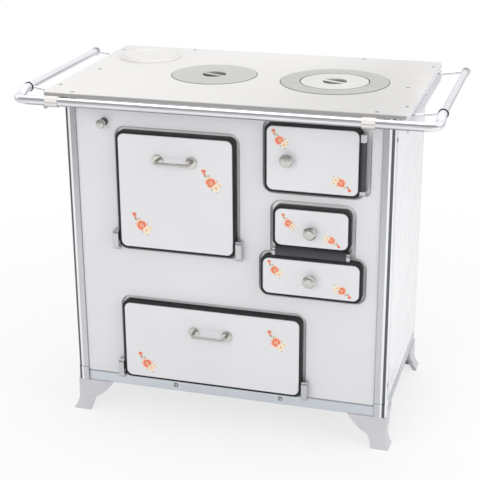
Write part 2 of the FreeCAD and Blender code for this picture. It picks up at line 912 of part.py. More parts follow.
def make_flue():
    seat = S.flue_rim_height / 2
    outer = S.flue_hole_radius + S.flue_rim_width
    well = S.flue_cover_radius + S.disc_gap
    bevel = S.flue_rim_bevel
    rim = new_body("flue_rim")
    turn(rim, "XZ", [
        (S.flue_hole_radius, 0), (outer, 0), (outer, S.flue_rim_height - bevel),
        (outer - bevel, S.flue_rim_height), (well, S.flue_rim_height), (well, seat),
        (S.flue_hole_radius, seat)])
    place(rim, flue_x, flue_y, plate_top)
    keep(rim, "flue_rim")

    cover = new_body("flue_cover")
    top = seat + S.flue_cover_thick
    edge = S.disc_chamfer
    outer = S.flue_cover_radius
    step = outer - S.cover_rim_width
    turn(cover, "XZ", [
        (0, seat), (outer, seat), (outer, top - edge), (outer - edge, top),
        (step, top), (step - S.cover_rim_slope, top - edge), (0, top - edge)])
    place(cover, flue_x, flue_y, plate_top)
    keep(cover, "flue_cover")

    radius, wall = S.spigot_radius, S.spigot_wall
    spigot = new_body("flue_spigot")
    add(spigot, "XZ", [circle(flue_x, spigot_z, radius + S.spigot_flange_width)],
        back, back + wall)
    add(spigot, "XZ", [circle(flue_x, spigot_z, radius)], back, back + S.spigot_length)
    carve(spigot, "XZ", [circle(flue_x, spigot_z, radius - wall)],
          back, back + S.spigot_length)
    keep(spigot, "flue_spigot")

    duct = new_body("flue_duct")
    half, wall = S.duct_half_width, S.frame_wall
    low, high = plate_bottom - S.duct_height, plate_bottom
    near, end = back - S.duct_front, back - S.sheet
    add(duct, "XY", [rectangle(flue_x - half, flue_x + half, near, end)], low, high)
    carve(duct, "XY", [rectangle(flue_x - half + wall, flue_x + half - wall, near + wall, end)],
          low, high)
    blade = S.damper_blade_half_width + S.damper_blade_side_gap
    carve(duct, "XZ", [rectangle(flue_x - blade, flue_x + blade,
                                 damper_z - S.damper_rod_radius * 1.5,
                                 damper_z + S.damper_rod_radius * 1.5)], near, near + wall)
    shelf = damper_z - S.damper_rod_radius - S.slide_gap
    for side in (-1, 1):
        wall_face = flue_x + (half - wall) * side
        lip = flue_x + (S.damper_blade_half_width - S.shelf_bite) * side
        add(duct, "XY", [rectangle(wall_face, lip, near, end)] if side < 0
            else [rectangle(lip, wall_face, near, end)], shelf - wall, shelf)
    keep(duct, "flue_duct")

# ---------------------------------------------------------------- towel rail


rail_y = front - S.rail_reach
rail_z = plate_top - S.rail_drop
side_rail_x = half_body + S.side_rail_offset
side_rail_z = plate_top - S.side_rail_drop
rail_end = side_rail_x - S.rail_bend
elbow_back = front + S.side_rail_front
standoff_places = (front + S.side_rail_front + S.collar_length / 2,
                   front + S.side_rail_rear - S.collar_length / 2)


def make_rails():
    rail = new_body("front_rail")
    add(rail, "YZ", [circle(rail_y, rail_z, S.rail_radius)], -rail_end, rail_end)
    carve(rail, "YZ", [circle(rail_y, rail_z, S.rail_radius - S.rail_wall)],
          -rail_end, rail_end)
    keep(rail, "front_rail")
    for side, name in ((-1, "side_rail_left"), (1, "side_rail_right")):
        x = side_rail_x * side
        end = front + S.side_rail_rear
        body = new_body(name)
        add(body, "XZ", [circle(x, side_rail_z, S.side_rail_radius)], elbow_back, end)
        for start in (elbow_back, end - S.collar_length):
            add(body, "XZ", [circle(x, side_rail_z, S.collar_radius)],
                start, start + S.collar_length)
        bevel_edges(body, lies_at("Y", end), S.rail_end_bevel)
        keep(body, name)


def make_elbow(side, name):
    """A bend to the side, then a gentle rise to the side rail."""
    angle = math.radians(S.elbow_rise_angle.number)
    rise = side_rail_z - rail_z
    sway = rise / (2 * (1 - math.cos(angle)))
    x = side_rail_x * side
    start = rail_y + S.rail_bend
    end = start + sway * (2 * math.sin(angle))
    about = FreeCAD.Rotation
    upright = FreeCAD.Vector(0, 0, 1)
    pieces = [
        bend(name + "_corner", (rail_end * side, start, rail_z), S.rail_bend, S.rail_radius,
             about(upright, -90 if side > 0 else 180), 90),
        bend(name + "_rise", (x, start, rail_z + sway), sway, S.rail_radius,
             about(FreeCAD.Vector(0, 1, 0), 90), S.elbow_rise_angle),
        bend(name + "_level", (x, end, side_rail_z - sway), sway, S.rail_radius,
             about(FreeCAD.Vector(1, 0, 1), 180), S.elbow_rise_angle),
        rod(name + "_end", "Y", x, end, side_rail_z, S.rail_radius, elbow_back - end),
    ]
    keep(join(name, pieces), name)


def make_elbows():
    make_elbow(-1, "rail_elbow_left")
    make_elbow(1, "rail_elbow_right")


def make_clamp(name, x, arm_x, arm_end):
    """A sleeve on the front rail, with an arm back to the cooker's front."""
    half = S.clamp_width / 2
    arm = S.clamp_arm / 2
    body = new_body(name)
    add(body, "YZ", [circle(rail_y, rail_z, S.clamp_radius)], x - half, x + half)
    add(body, "XY", [rectangle(arm_x - arm, arm_x + arm, rail_y, arm_end)],
        rail_z - S.clamp_arm / 4, rail_z + S.clamp_arm / 4)
    carve(body, "YZ", [circle(rail_y, rail_z, S.rail_radius)],
          x - half - S.clamp_width, x + half + S.clamp_width)
    return body


def make_rail_fixings():
    arm_left = -half_body + S.clamp_arm / 2 + S.clamp_arm_inset
    left = make_clamp("clamp_left", -half_body - S.clamp_left_out, arm_left,
                      front - S.trim_thick)
    right_x = half_body - S.trim_width - S.clamp_width / 2 - S.clamp_right_gap
    right = make_clamp("clamp_right", right_x, right_x, front)
    keep(gather("rail_clamps_group", [left, right]), "rail_clamps")

    standoffs = doc.addObject("Part::Feature", "rail_standoffs")
    standoffs.Shape = Part.makeCompound([
        standoff(side, y, half_body if near else half_panel)
        for side in (-1, 1) for near, y in zip((True, False), standoff_places)])
    keep(standoffs, "rail_standoffs")


def standoff(side, y, wall):
    """A thin bar that rises from the cooker's side to a collar of the side rail."""
    length = (side_rail_x - wall).number
    slope = S.standoff_rise.number / length
    start = FreeCAD.Vector(wall.number * side, y.number, (side_rail_z - S.standoff_rise).number)
    way = FreeCAD.Vector(side, 0, slope)
    bar = Part.makeCylinder(S.standoff_radius.number, length * 2, start - way * length, way)
    reach = S.standoff_radius.number * 2
    corner = FreeCAD.Vector(min(wall.number * side, side_rail_x.number * side),
                            y.number - reach, start.z - reach)
    between = Part.makeBox(length, reach * 2, S.standoff_rise.number + reach * 2, corner)
    rail = Part.makeCylinder(
        S.collar_radius.number, reach * 2,
        FreeCAD.Vector(side_rail_x.number * side, y.number - reach, side_rail_z.number),
        FreeCAD.Vector(0, 1, 0))
    return bar.common(between).cut(rail)

# ---------------------------------------------------------------- inside


def make_box(body, door, end):
    """A sheet box behind a door, open to the front."""
    wall, inset = S.oven_wall, S.opening_inset
    outer = door.outline(wall - inset, S.opening_corner + wall)
    inner = door.outline(-inset, S.opening_corner)
    add(body, "XZ", [outer], panel_back, end)
    carve(body, "XZ", [inner], panel_back, end - wall)


def make_oven_inside():
    body = new_body("oven_box")
    box_end = back - S.sheet - S.oven_rear_gap
    make_box(body, oven, box_end)
    left = oven.left + S.opening_inset
    right = oven.right - S.opening_inset
    rack_z = oven.bottom + S.opening_inset + S.rack_height
    end = box_end - S.oven_wall
    rib = S.rack_rib_width
    for x0, x1 in ((left, left + rib), (right - rib, right)):
        add(body, "XZ", [rectangle(x0, x1, rack_z - S.rack_rib_thick, rack_z)],
            panel_back + S.rack_rib_front, end)
    keep(body, "oven_box")

    frame, wire = S.rack_rod_radius, S.rack_wire_radius
    x0, x1 = left + S.rack_gap, right - S.rack_gap
    y0, y1 = panel_back + S.rack_front_gap, end - S.rack_rear_gap
    z = rack_z + frame
    bars = []
    for i, y in enumerate((y0, y1)):
        bars.append(rod(f"rack_front_{i}", "X", x0, y, z, frame, x1 - x0))
    for i, x in enumerate((x0 + frame, x1 - frame)):
        bars.append(rod(f"rack_side_{i}", "Y", x, y0, z, frame, y1 - y0))
    count = 9
    pitch = (x1 - x0) / (count + 1)
    for i in range(1, count + 1):
        bars.append(rod(f"rack_wire_{i}", "Y", x0 + pitch * i, y0, z, wire, y1 - y0))
    keep(join("oven_rack_frame", bars), "oven_rack")


def make_store_inside():
    body = new_body("storage_box")
    make_box(body, store, back - S.sheet - S.store_rear_gap)
    keep(body, "storage_box")


grate_top = fire.bottom - S.grate_drop + S.firebox_wall + S.grate_thick
ledge_top = fire.bottom - S.grate_drop + S.firebox_wall
floor_top = drawer.bottom + S.firebox_floor_lift + S.firebox_wall
fire_left = column - S.firebox_half_width
fire_right = column + S.firebox_half_width
fire_back = back - S.sheet - S.firebox_rear_gap - S.firebox_wall


def make_firebox():
    """The shell round the fire and the ash drawer, with ledges for the grate."""
    wall = S.firebox_wall
    shell = new_body("firebox_shell")
    top = plate_bottom - S.seat_boss - wall
    add(shell, "XY", [rectangle(fire_left, fire_right, panel_back, fire_back + wall)],
        floor_top - wall, top)
    carve(shell, "XY", [rectangle(fire_left + wall, fire_right - wall, panel_back, fire_back)],
          floor_top, top)
    ledge = S.ledge_width
    for x0, x1 in ((fire_left + wall, fire_left + ledge), (fire_right - ledge, fire_right - wall)):
        add(shell, "XY", [rectangle(x0, x1, panel_back, fire_back)], ledge_top - wall, ledge_top)
    run = S.pan_half_width - S.runner_inset
    half = S.runner_half_width
    for x in (column - run, column + run):
        add(shell, "XY", [rectangle(x - half, x + half, panel_back, fire_back)],
            floor_top, floor_top + S.runner_height)
    keep(shell, "firebox_shell")

    brick = S.brick_thick
    high = ledge_top + S.brick_height
    near = panel_back
    inner_left = fire_left + wall
    inner_right = fire_right - wall
    bricks = [
        block("brick_left", inner_left, inner_left + brick, near, fire_back, ledge_top, high),
        block("brick_right", inner_right - brick, inner_right, near, fire_back, ledge_top, high),
        block("brick_back", inner_left + brick, inner_right - brick, fire_back - brick,
              fire_back, grate_top, high),
    ]
    keep(gather("firebricks_group", bricks), "firebricks")

    grate = new_body("fire_grate")
    gap = S.grate_gap
    x0, x1 = inner_left + brick + gap, inner_right - brick - gap
    y0, y1 = near + S.grate_front_gap, fire_back - gap
    add(grate, "XY", [rectangle(x0, x1, y0, y1)], ledge_top, grate_top)
    rib = S.grate_pitch - S.grate_slot
    slot = carve(grate, "XY", [
        rectangle(x0 + S.grate_border, column - rib / 2, y0 + rib, y0 + S.grate_pitch),
        rectangle(column + rib / 2, x1 - S.grate_border, y0 + rib, y0 + S.grate_pitch),
    ], ledge_top, grate_top)
    rows = int((y1 - y0 - rib).number / S.grate_pitch.number)
    pattern = grate.newObject("PartDesign::LinearPattern", "grate_slots")
    pattern.Originals = [slot]
    pattern.Direction = (slot.Profile[0], ["V_Axis"])
    bind(pattern, "Length", S.grate_pitch * (rows - 1))
    pattern.Occurrences = rows
    grate.Tip = pattern
    keep(grate, "fire_grate")

# ---------------------------------------------------------------- doors


def make_door_body(name, door):
    """A cast door plate, hollowed from behind."""
    body = new_body(name)
    add(body, "XZ", [door.outline(as_size(0), S.door_corner)], door_front, door_back)
    hollow = door.outline(-S.door_hollow_inset, S.door_corner / 2)
    pocket = body.newObject("PartDesign::Pocket", name + "_hollow")
    pocket.Profile = sketch_on(body, "XZ", [hollow], door_back)
    pocket.Reversed = True
    bind(pocket, "Length", S.door_hollow_depth)
    return body


def make_door_face(name, door):
    """The enamelled plate on the front of a door."""
    body = new_body(name)
    corner = S.door_corner - S.door_rim / 3
    add(body, "XZ", [door.outline(-S.door_rim, corner)], face_front, door_front)
    bevel_edges(body, lies_at("Y", face_front), S.face_edge_bevel)
    keep(body, name)


def make_knob(name, x, y, z, radius, length):
    """A turned knob: a foot, a neck and a head that is crowned in three steps."""
    body = new_body(name)
    foot = radius * 0.68
    neck = radius * 0.36
    turn(body, "XY", [
        (0, 0), (foot, 0), (foot, -length * 0.1), (neck, -length * 0.2),
        (neck, -length * 0.5), (radius, -length * 0.64),
        (radius, -length * 0.76), (radius * 0.86, -length * 0.88),
        (radius * 0.55, -length * 0.97), (0, -length)])
    place(body, x, y, z)
    keep(body, name)


def make_handle(name, x, z):
    """A bar handle on two round rosettes."""
    y = face_front
    out = y - S.handle_reach
    thick, curve = S.handle_rod_radius, S.handle_bend
    plate, edge, wide = S.rosette_thick, S.rosette_bevel, S.rosette_radius
    pieces = []
    for side, label, quarter in ((-1, "left", 180), (1, "right", 270)):
        post = x + S.handle_spacing / 2 * side
        rosette = new_body(f"{name}_rosette_{label}")
        turn(rosette, "XY", [(0, 0), (wide, 0), (wide, edge - plate), (wide - edge, -plate),
                             (0, -plate)])
        place(rosette, post, y, z)
        pieces.append(rosette)
        pieces.append(rod(f"{name}_post_{label}", "Y", post, out + curve, z, thick,
                          y - out - curve))
        pieces.append(bend(f"{name}_bend_{label}", (post - curve * side, out + curve, z),
                           curve, thick, FreeCAD.Rotation(FreeCAD.Vector(0, 0, 1), quarter), 90))
    half = S.handle_spacing / 2 - curve
    pieces.append(rod(name + "_bar", "X", x - half, out, z, thick, half * 2))
    keep(join(name, pieces), name)


def add_drop_axis(body, door):
    """A bore for the pins in each end of a drop-down door, and room to swing."""
    y = front - S.drop_axis_depth
    z = door.bottom + S.drop_axis_height
    reach = S.hinge_pin_reach
    bore = [circle(y, z, S.hinge_pin_radius + S.hinge_gap)]
    carve(body, "YZ", bore, door.left, door.left + reach)
    carve(body, "YZ", bore, door.right - reach, door.right)
    bevel = S.drop_bevel
    corner = [(door_back - bevel, door.bottom), (door_back, door.bottom),
              (door_back, door.bottom + bevel)]
    carve(body, "YZ", [corner], door.left, door.right)


def make_drop_lugs(name, door):
    """The pair of cast lugs and pins that a drop-down door turns on."""
    y = front - S.drop_axis_depth
    z = door.bottom + S.drop_axis_height
    half = S.lug_height / 2
    nose = front - S.lug_proud
    r = S.lug_proud / 2
    lugs = []
    for side, edge in ((-1, door.left), (1, door.right)):
        near = edge + S.side_gap * side
        far = near + S.lug_width * side
        low, high = (far, near) if side < 0 else (near, far)
        lug = new_body(f"{name}_{'left' if side < 0 else 'right'}")
        m = r * (1 - math.sqrt(0.5))
        add(lug, "YZ", [[
            (front, z - half * 0.7), (front, z + half),
            (nose + r, z + half), (nose, z + half - r, nose + m, z + half - m),
            (nose, z - half * 0.7 + r),
            (nose + r, z - half * 0.7, nose + m, z - half * 0.7 + m)]], low, high)
        reach = S.hinge_pin_reach - S.pin_end_gap
        pin = (near, edge - (reach * side))
        pin_low, pin_high = (pin[0], pin[1]) if side < 0 else (pin[1], pin[0])
        add(lug, "YZ", [circle(y, z, S.hinge_pin_radius)], pin_low, pin_high)
        lugs.append(lug)
    keep(gather(name + "_group", lugs), name)


def make_seal(name, door):
    """A rope seal round the way in, on the door's rear."""
    inset = S.seal_inset
    body = new_body(name)
    axis = door.bottom + S.drop_axis_height + S.hinge_pin_radius
    outer = rounded(door.left + inset, door.right - inset, axis, door.top - inset,
                    S.door_corner - inset)
    width = S.seal_width
    inner = rounded(door.left + inset + width, door.right - inset - width, axis + width,
                    door.top - inset - width, S.door_corner - width)
    add(body, "XZ", [outer, inner], door_back, recess_floor - S.seal_gap)
    keep(body, name)


def make_oven_door():
    body = make_door_body("oven_door_body", oven)
    add_drop_axis(body, oven)
    keep(body, "oven_door_body")
    make_door_face("oven_door_face", oven)
    make_handle("oven_door_handle", oven.middle, oven.top - S.oven_handle_drop)
    make_seal("oven_door_seal", oven)
    make_drop_lugs("oven_hinge_lugs", oven)


def make_store_door():
    body = make_door_body("store_door_body", store)
    add_drop_axis(body, store)
    keep(body, "store_door_body")
    make_door_face("store_door_face", store)
    make_handle("store_door_handle", store.middle, store.top - S.store_handle_drop)
    make_drop_lugs("store_hinge_lugs", store)


ash_axis_y = front - S.ash_axis_depth
ash_axis_z = ash.bottom - S.barrel_drop


def make_ash_door():
    """The small door over the ash drawer, turning on a barrel under its lower edge."""
    body = make_door_body("ash_door_body", ash)
    inset = S.barrel_inset
    low, high = ash.left + inset, ash.right - inset
    add(body, "XY", [rectangle(low, high, ash_axis_y - S.barrel_radius / 2,
                               ash_axis_y + S.barrel_radius / 2)],
        ash_axis_z, ash.bottom + S.barrel_web_bite)
    add(body, "YZ", [circle(ash_axis_y, ash_axis_z, S.barrel_radius)], low, high)
    carve(body, "YZ", [circle(ash_axis_y, ash_axis_z, S.hinge_pin_radius + S.hinge_gap)],
          low, high)
    keep(body, "ash_door_body")
    make_door_face("ash_door_face", ash)
    make_knob("ash_door_knob", ash.middle, face_front, ash.top - S.ash_knob_drop,
              S.knob_radius, S.knob_length)

    lugs = []
    radius = S.barrel_radius
    for side, edge in ((-1, low), (1, high)):
        near = edge + S.lug_gap * side
        far = near + S.ash_lug_width * side
        x0, x1 = (far, near) if side < 0 else (near, far)
        lug = new_body(f"ash_lug_{'left' if side < 0 else 'right'}")
        add(lug, "YZ", [[
            (recess_floor, ash_axis_z - radius), (recess_floor, ash_axis_z + radius),
            (ash_axis_y, ash_axis_z + radius),
            (ash_axis_y, ash_axis_z - radius, ash_axis_y - radius, ash_axis_z)]], x0, x1)
        pin_end = edge - S.barrel_pin_reach * side
        p0, p1 = (near, pin_end) if side < 0 else (pin_end, near)
        add(lug, "YZ", [circle(ash_axis_y, ash_axis_z, S.hinge_pin_radius)], p0, p1)
        lugs.append(lug)
    keep(gather("ash_hinge_lugs_group", lugs), "ash_hinge_lugs")


fire_axis_x = fire.right + S.fire_axis_out
fire_axis_y = front - S.ash_axis_depth


def make_fire_door():
    """The firing door, hung on an upright barrel at its right edge."""
    body = make_door_body("fire_door_body", fire)
    r = S.fire_barrel_radius
    low = fire.bottom + S.fire_barrel_inset
    high = fire.top - S.fire_barrel_inset - S.fire_barrel_drop
    carve(body, "XY", [circle(fire_axis_x, fire_axis_y, r + S.fire_barrel_gap)],
          fire.bottom, fire.top)
    add(body, "XY", [rectangle(fire_axis_x - r * 2, fire_axis_x, door_front,
                               fire_axis_y + r / 2)], low, high)
    add(body, "XY", [circle(fire_axis_x, fire_axis_y, r)], low, high)
    carve(body, "XY", [circle(fire_axis_x, fire_axis_y, S.hinge_pin_radius + S.hinge_gap)],
          low, high)
    keep(body, "fire_door_body")
    make_door_face("fire_door_face", fire)
    make_knob("fire_door_knob", fire.left + S.fire_knob_side, face_front,
              (fire.top + fire.bottom) / 2, S.knob_radius, S.knob_length)

    baffle = new_body("fire_door_baffle")
    inset = S.opening_inset + S.baffle_gap
    add(baffle, "XZ", [fire.outline(-inset, S.door_corner / 2)],
        door_back - S.door_hollow_depth, panel_back)
    keep(baffle, "fire_door_baffle")

    lugs = []
    under, over = low - S.lug_gap, high + S.lug_gap
    for i, (z0, z1, pin0, pin1) in enumerate((
            (under - S.fire_lug_height, under, under, low + S.barrel_pin_reach),
            (over, over + S.fire_top_lug_height, high - S.barrel_pin_reach, over))):
        lug = new_body(f"fire_lug_{i}")
        add(lug, "XY", [[
            (fire_axis_x, recess_floor), (fire_axis_x + r, recess_floor),
            (fire_axis_x + r, fire_axis_y),
            (fire_axis_x - r, fire_axis_y, fire_axis_x, fire_axis_y - r),
            (fire_axis_x, fire_axis_y + r, fire_axis_x - r * math.sqrt(0.5),
             fire_axis_y + r * math.sqrt(0.5))]], z0, z1)
        add(lug, "XY", [circle(fire_axis_x, fire_axis_y, S.hinge_pin_radius)], pin0, pin1)
        lugs.append(lug)
    keep(gather("fire_hinge_lugs_group", lugs), "fire_hinge_lugs")


def make_ash_drawer():
    body = make_door_body("ash_drawer_front", drawer)
    keep(body, "ash_drawer_front")
    make_door_face("ash_drawer_face", drawer)
    make_knob("ash_drawer_knob", drawer.middle, face_front,
              (drawer.top + drawer.bottom) / 2, S.knob_radius, S.knob_length)
    pan = new_body("ash_pan")
    half, wall = S.pan_half_width, S.pan_wall
    near, end = door_back, fire_back - S.pan_rear_gap
    add(pan, "XY", [rectangle(column - half, column + half, near, end)], pan_floor, pan_top)
    carve(pan, "XY", [rectangle(column - half + wall, column + half - wall,
                                near + wall, end - wall)], pan_floor + wall, pan_top)
    keep(pan, "ash_pan")

# ---------------------------------------------------------------- damper


def make_damper():
    guide = new_body("damper_guide")
    flange = S.guide_flange_thick
    add(guide, "XZ", [circle(damper_x, damper_z, S.guide_flange_radius)], front - flange, front)
    add(guide, "XZ", [circle(damper_x, damper_z, S.guide_radius)],
        front, panel_back + flange)
    carve(guide, "XZ", [circle(damper_x, damper_z, S.damper_rod_radius + S.slide_gap)],
          front - flange, panel_back + flange)
    keep(guide, "damper_guide")

    knob_back = front - S.damper_knob_out
    blade_front = back - S.duct_front + S.frame_wall + S.damper_blade_gap
    half = S.damper_blade_half_width
    bar = rod("damper_bar", "Y", damper_x, knob_back, damper_z, S.damper_rod_radius,
              blade_front + S.damper_bar_lap - knob_back)
    low = damper_z - S.damper_rod_radius
    blade = block("damper_blade", flue_x - half, flue_x + half, blade_front,
                  blade_front + S.damper_blade_length, low, low + S.damper_blade_thick)
    keep(join("damper_rod_and_blade", [bar, blade]), "damper_rod")
    make_knob("damper_knob", damper_x, knob_back, damper_z,
              S.damper_knob_radius, S.damper_knob_length)

# ---------------------------------------------------------------- build and write


def build():
    make_base_frame()
    make_legs()
    make_front_panel()
    make_side_panel(-1, "side_panel_left")
    make_side_panel(1, "side_panel_right")
    make_rear_panel()
    make_trim(-1, "trim_front_left")
    make_trim(1, "trim_front_right")
    make_body_screws()
    make_top_plate()
    make_hob()
    make_flue()
    make_rails()
    make_elbows()
    make_rail_fixings()
    make_oven_inside()
    make_store_inside()
    make_firebox()
    make_oven_door()
    make_store_door()
    make_ash_door()
    make_fire_door()
    make_ash_drawer()
    make_damper()
    doc.recompute()


def check():
    """Stop before writing anything if any object failed or is not a sound solid."""
    for item in doc.Objects:
        if {"Invalid", "Error"} & set(item.State):
            raise RuntimeError(f"{item.Name} failed: {item.State}")
    for part in parts:
        if part.Shape.isNull() or not part.Shape.isValid() or not part.Shape.Solids:
            raise RuntimeError(f"{part.Label} is not a valid solid")


def write():
    os.makedirs("parts", exist_ok=True)
    for part in parts:
        part.Shape.exportStep(f"parts/{part.Label}.step")
    print(f"{len(parts)} parts")


build()
check()
write()
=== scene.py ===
import json
import math
import random

import bmesh
import bpy
from mathutils import Matrix, Vector


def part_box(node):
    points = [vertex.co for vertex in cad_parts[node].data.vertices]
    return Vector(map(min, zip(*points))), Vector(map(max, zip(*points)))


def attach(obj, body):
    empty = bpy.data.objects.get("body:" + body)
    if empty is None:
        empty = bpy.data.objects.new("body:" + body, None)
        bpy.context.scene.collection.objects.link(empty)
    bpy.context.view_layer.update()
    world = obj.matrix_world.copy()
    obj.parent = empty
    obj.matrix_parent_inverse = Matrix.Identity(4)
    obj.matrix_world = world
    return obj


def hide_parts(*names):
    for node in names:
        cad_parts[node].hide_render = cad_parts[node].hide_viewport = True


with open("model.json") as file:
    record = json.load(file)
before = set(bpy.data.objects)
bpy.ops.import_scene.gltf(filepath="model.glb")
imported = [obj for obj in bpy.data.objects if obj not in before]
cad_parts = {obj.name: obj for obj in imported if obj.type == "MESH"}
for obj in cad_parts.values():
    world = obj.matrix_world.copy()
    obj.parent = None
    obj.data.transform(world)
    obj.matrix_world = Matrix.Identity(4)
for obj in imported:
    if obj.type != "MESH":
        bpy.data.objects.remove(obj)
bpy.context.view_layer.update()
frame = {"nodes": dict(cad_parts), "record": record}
nodes = frame["nodes"]
scene = bpy.context.scene


def box(node):
    """Lowest and highest corner of a node, in metres."""
    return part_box(node)


# ------------------------------------------------------------------ materials

class Paint:
    """Builds one node material on the object's own coordinates."""

    def __init__(self, name, metallic=0.0, coat=0.0, coat_rough=0.05, ior=1.5):
        self.mat = bpy.data.materials.new(name)
        self.mat.use_nodes = True
        self.tree = self.mat.node_tree
        self.out = self.tree.nodes["Material Output"]
        self.shader = self.tree.nodes["Principled BSDF"]
        self.shader.inputs["Metallic"].default_value = metallic
        self.shader.inputs["IOR"].default_value = ior
        self.shader.inputs["Coat Weight"].default_value = coat
        self.shader.inputs["Coat Roughness"].default_value = coat_rough
        self.coords = self.add("ShaderNodeTexCoord")
        self.heights = []

    def add(self, kind, **inputs):
        node = self.tree.nodes.new(kind)
        for key, value in inputs.items():
            self.put(node.inputs[key], value)
        return node

    def put(self, socket, value):
        if isinstance(value, bpy.types.NodeSocket):
            self.tree.links.new(value, socket)
        else:
            socket.default_value = value

    def point(self, stretch=(1, 1, 1), source="Object"):
        mapping = self.add("ShaderNodeMapping")
        mapping.inputs["Scale"].default_value = stretch
        self.put(mapping.inputs["Vector"], self.coords.outputs[source])
        return mapping.outputs["Vector"]

    def noise(self, scale, detail=3.0, rough=0.55, stretch=(1, 1, 1), source="Object"):
        node = self.add("ShaderNodeTexNoise", Scale=scale, Detail=detail, Roughness=rough)
        self.put(node.inputs["Vector"], self.point(stretch, source))
        return node.outputs["Fac"]

    def span(self, value, low, high, new_low=0.0, new_high=1.0):
        node = self.add("ShaderNodeMapRange")
        for i, v in enumerate((value, low, high, new_low, new_high)):
            self.put(node.inputs[i], v)
        return node.outputs["Result"]

    def math(self, what, a, b=0.0):
        node = self.add("ShaderNodeMath")
        node.operation = what
        self.put(node.inputs[0], a)
        self.put(node.inputs[1], b)
        return node.outputs[0]

    def axis(self, name):
        node = self.add("ShaderNodeSeparateXYZ", Vector=self.coords.outputs["Object"])
        return node.outputs[name]

    def mix(self, share, a, b, how="MIX"):
        node = self.add("ShaderNodeMix")
        node.data_type = "RGBA"
        node.blend_type = how
        for i, v in ((0, share), (6, a), (7, b)):
            if isinstance(v, tuple) and len(v) == 3:
                v = (*v, 1)
            self.put(node.inputs[i], v)
        return node.outputs[2]

    def tint(self, colour, by):
        """Multiplies a colour by another."""
        return self.mix(1.0, colour, by, "MULTIPLY")

    def cloudy(self, value, colour, darker, lighter, low=0.3, high=0.7):
        """A colour that wanders between two shades of itself as a noise does."""
        return self.ramp(value, [(low, shade(colour, darker)), (high, shade(colour, lighter))])

    def greys(self, value, stops):
        """Grey ramp over real values: stops are (value, grey)."""
        low, high = stops[0][0], stops[-1][0]
        share = self.span(value, low, high)
        return self.ramp(share, [((v - low) / (high - low), (g, g, g)) for v, g in stops])

    def ramp(self, value, stops):
        node = self.add("ShaderNodeValToRGB")
        band = node.color_ramp
        while len(band.elements) < len(stops):
            band.elements.new(1.0)
        for element, (place, colour) in zip(band.elements, stops):
            element.position = place
            element.color = (*colour, 1)
        self.put(node.inputs["Fac"], value)
        return node.outputs["Color"]

    def bump(self, height, strength, distance=0.0004):
        self.heights.append((height, strength, distance))

    def done(self, colour, rough):
        self.put(self.shader.inputs["Base Color"], colour)
        self.put(self.shader.inputs["Roughness"], rough)
        normal = None
        for height, strength, distance in self.heights:
            node = self.add("ShaderNodeBump", Strength=strength, Distance=distance)
            self.put(node.inputs["Height"], height)
            if normal:
                self.put(node.inputs["Normal"], normal)
            normal = node.outputs["Normal"]
        if normal:
            self.put(self.shader.inputs["Normal"], normal)
        return self.mat


def shade(colour, factor):
    return tuple(min(1.0, c * factor) for c in colour)


def srgb(r, g, b):
    """Linear colour of a value seen on a screen."""
    return tuple((c / 255 / 12.92) if c < 11 else ((c / 255 + 0.055) / 1.055) ** 2.4
                 for c in (r, g, b))


# Depths behind the panel's front, in metres, over which its enamel is painted paler as painted
# light.
RECESS_FROM, RECESS_TO, RECESS_PAINTED_LIGHT = 0.003, 0.006, (0.95, 0.95, 0.96)


def enamel(name, colour, uneven=0.02, recess=None, wave=0.12):
    """Vitreous enamel: glassy, faintly wavy and pinholed, and painted paler in a recess as painted
    light.
    """
    p = Paint(name, coat=0.6, coat_rough=0.04)
    cloud = p.noise(5, 4)
    tone = p.cloudy(cloud, colour, 1 - uneven, 1 + uneven)
    specks = p.add("ShaderNodeTexVoronoi", Scale=260.0)
    p.put(specks.inputs["Vector"], p.point())
    pin = p.span(specks.outputs["Distance"], 0.02, 0.07)
    tone = p.mix(pin, shade(colour, 0.9), tone)
    if recess:
        # Painted light: the enamel turns paler deep in the recess, where shade falls.
        deep = p.span(p.axis("Y"), recess + RECESS_FROM, recess + RECESS_TO)
        tone = p.mix(deep, tone, RECESS_PAINTED_LIGHT)
    p.bump(p.noise(38, 2), wave, 0.0006)
    p.bump(p.noise(420, 2), 0.06, 0.0001)
    return p.done(tone, p.span(p.noise(24, 3), 0.3, 0.7, 0.16, 0.26))


def stove_paint(name, colour, rough=0.5, skin=0.25, uneven=0.03, fine=700):
    """Painted iron: a fine sandy casting skin under satin paint."""
    p = Paint(name, coat=0.08, coat_rough=0.3)
    cloud = p.noise(9, 5)
    tone = p.cloudy(cloud, colour, 1 - uneven, 1 + uneven)
    grain = p.noise(fine, 2, 0.7)
    tone = p.mix(p.span(grain, 0.62, 0.8), tone, shade(colour, 0.9))
    p.bump(grain, skin, 0.00025)
    p.bump(p.noise(60, 3), skin * 0.7, 0.0008)
    return p.done(tone, p.span(p.noise(40, 4), 0.3, 0.7, rough - 0.07, rough + 0.08))


def bright_metal(name, colour, rough, stretch=(1, 1, 1), brush=0.0, uneven=0.03, scale=60):
    """Plated or polished metal, with fingerprints in its gloss and fine scratches."""
    p = Paint(name, metallic=1.0)
    smear = p.noise(14, 4, 0.65)
    tone = p.cloudy(smear, colour, 1 - uneven, 1 + uneven)
    lines = p.noise(scale, 3, 0.6, stretch)
    if brush:
        p.bump(lines, brush, 0.0002)
    gloss = p.math("ADD", p.span(smear, 0.3, 0.7, rough * 0.7, rough * 1.3),
                   p.span(lines, 0.35, 0.65, -rough * 0.25, rough * 0.25))
    return p.done(tone, gloss)
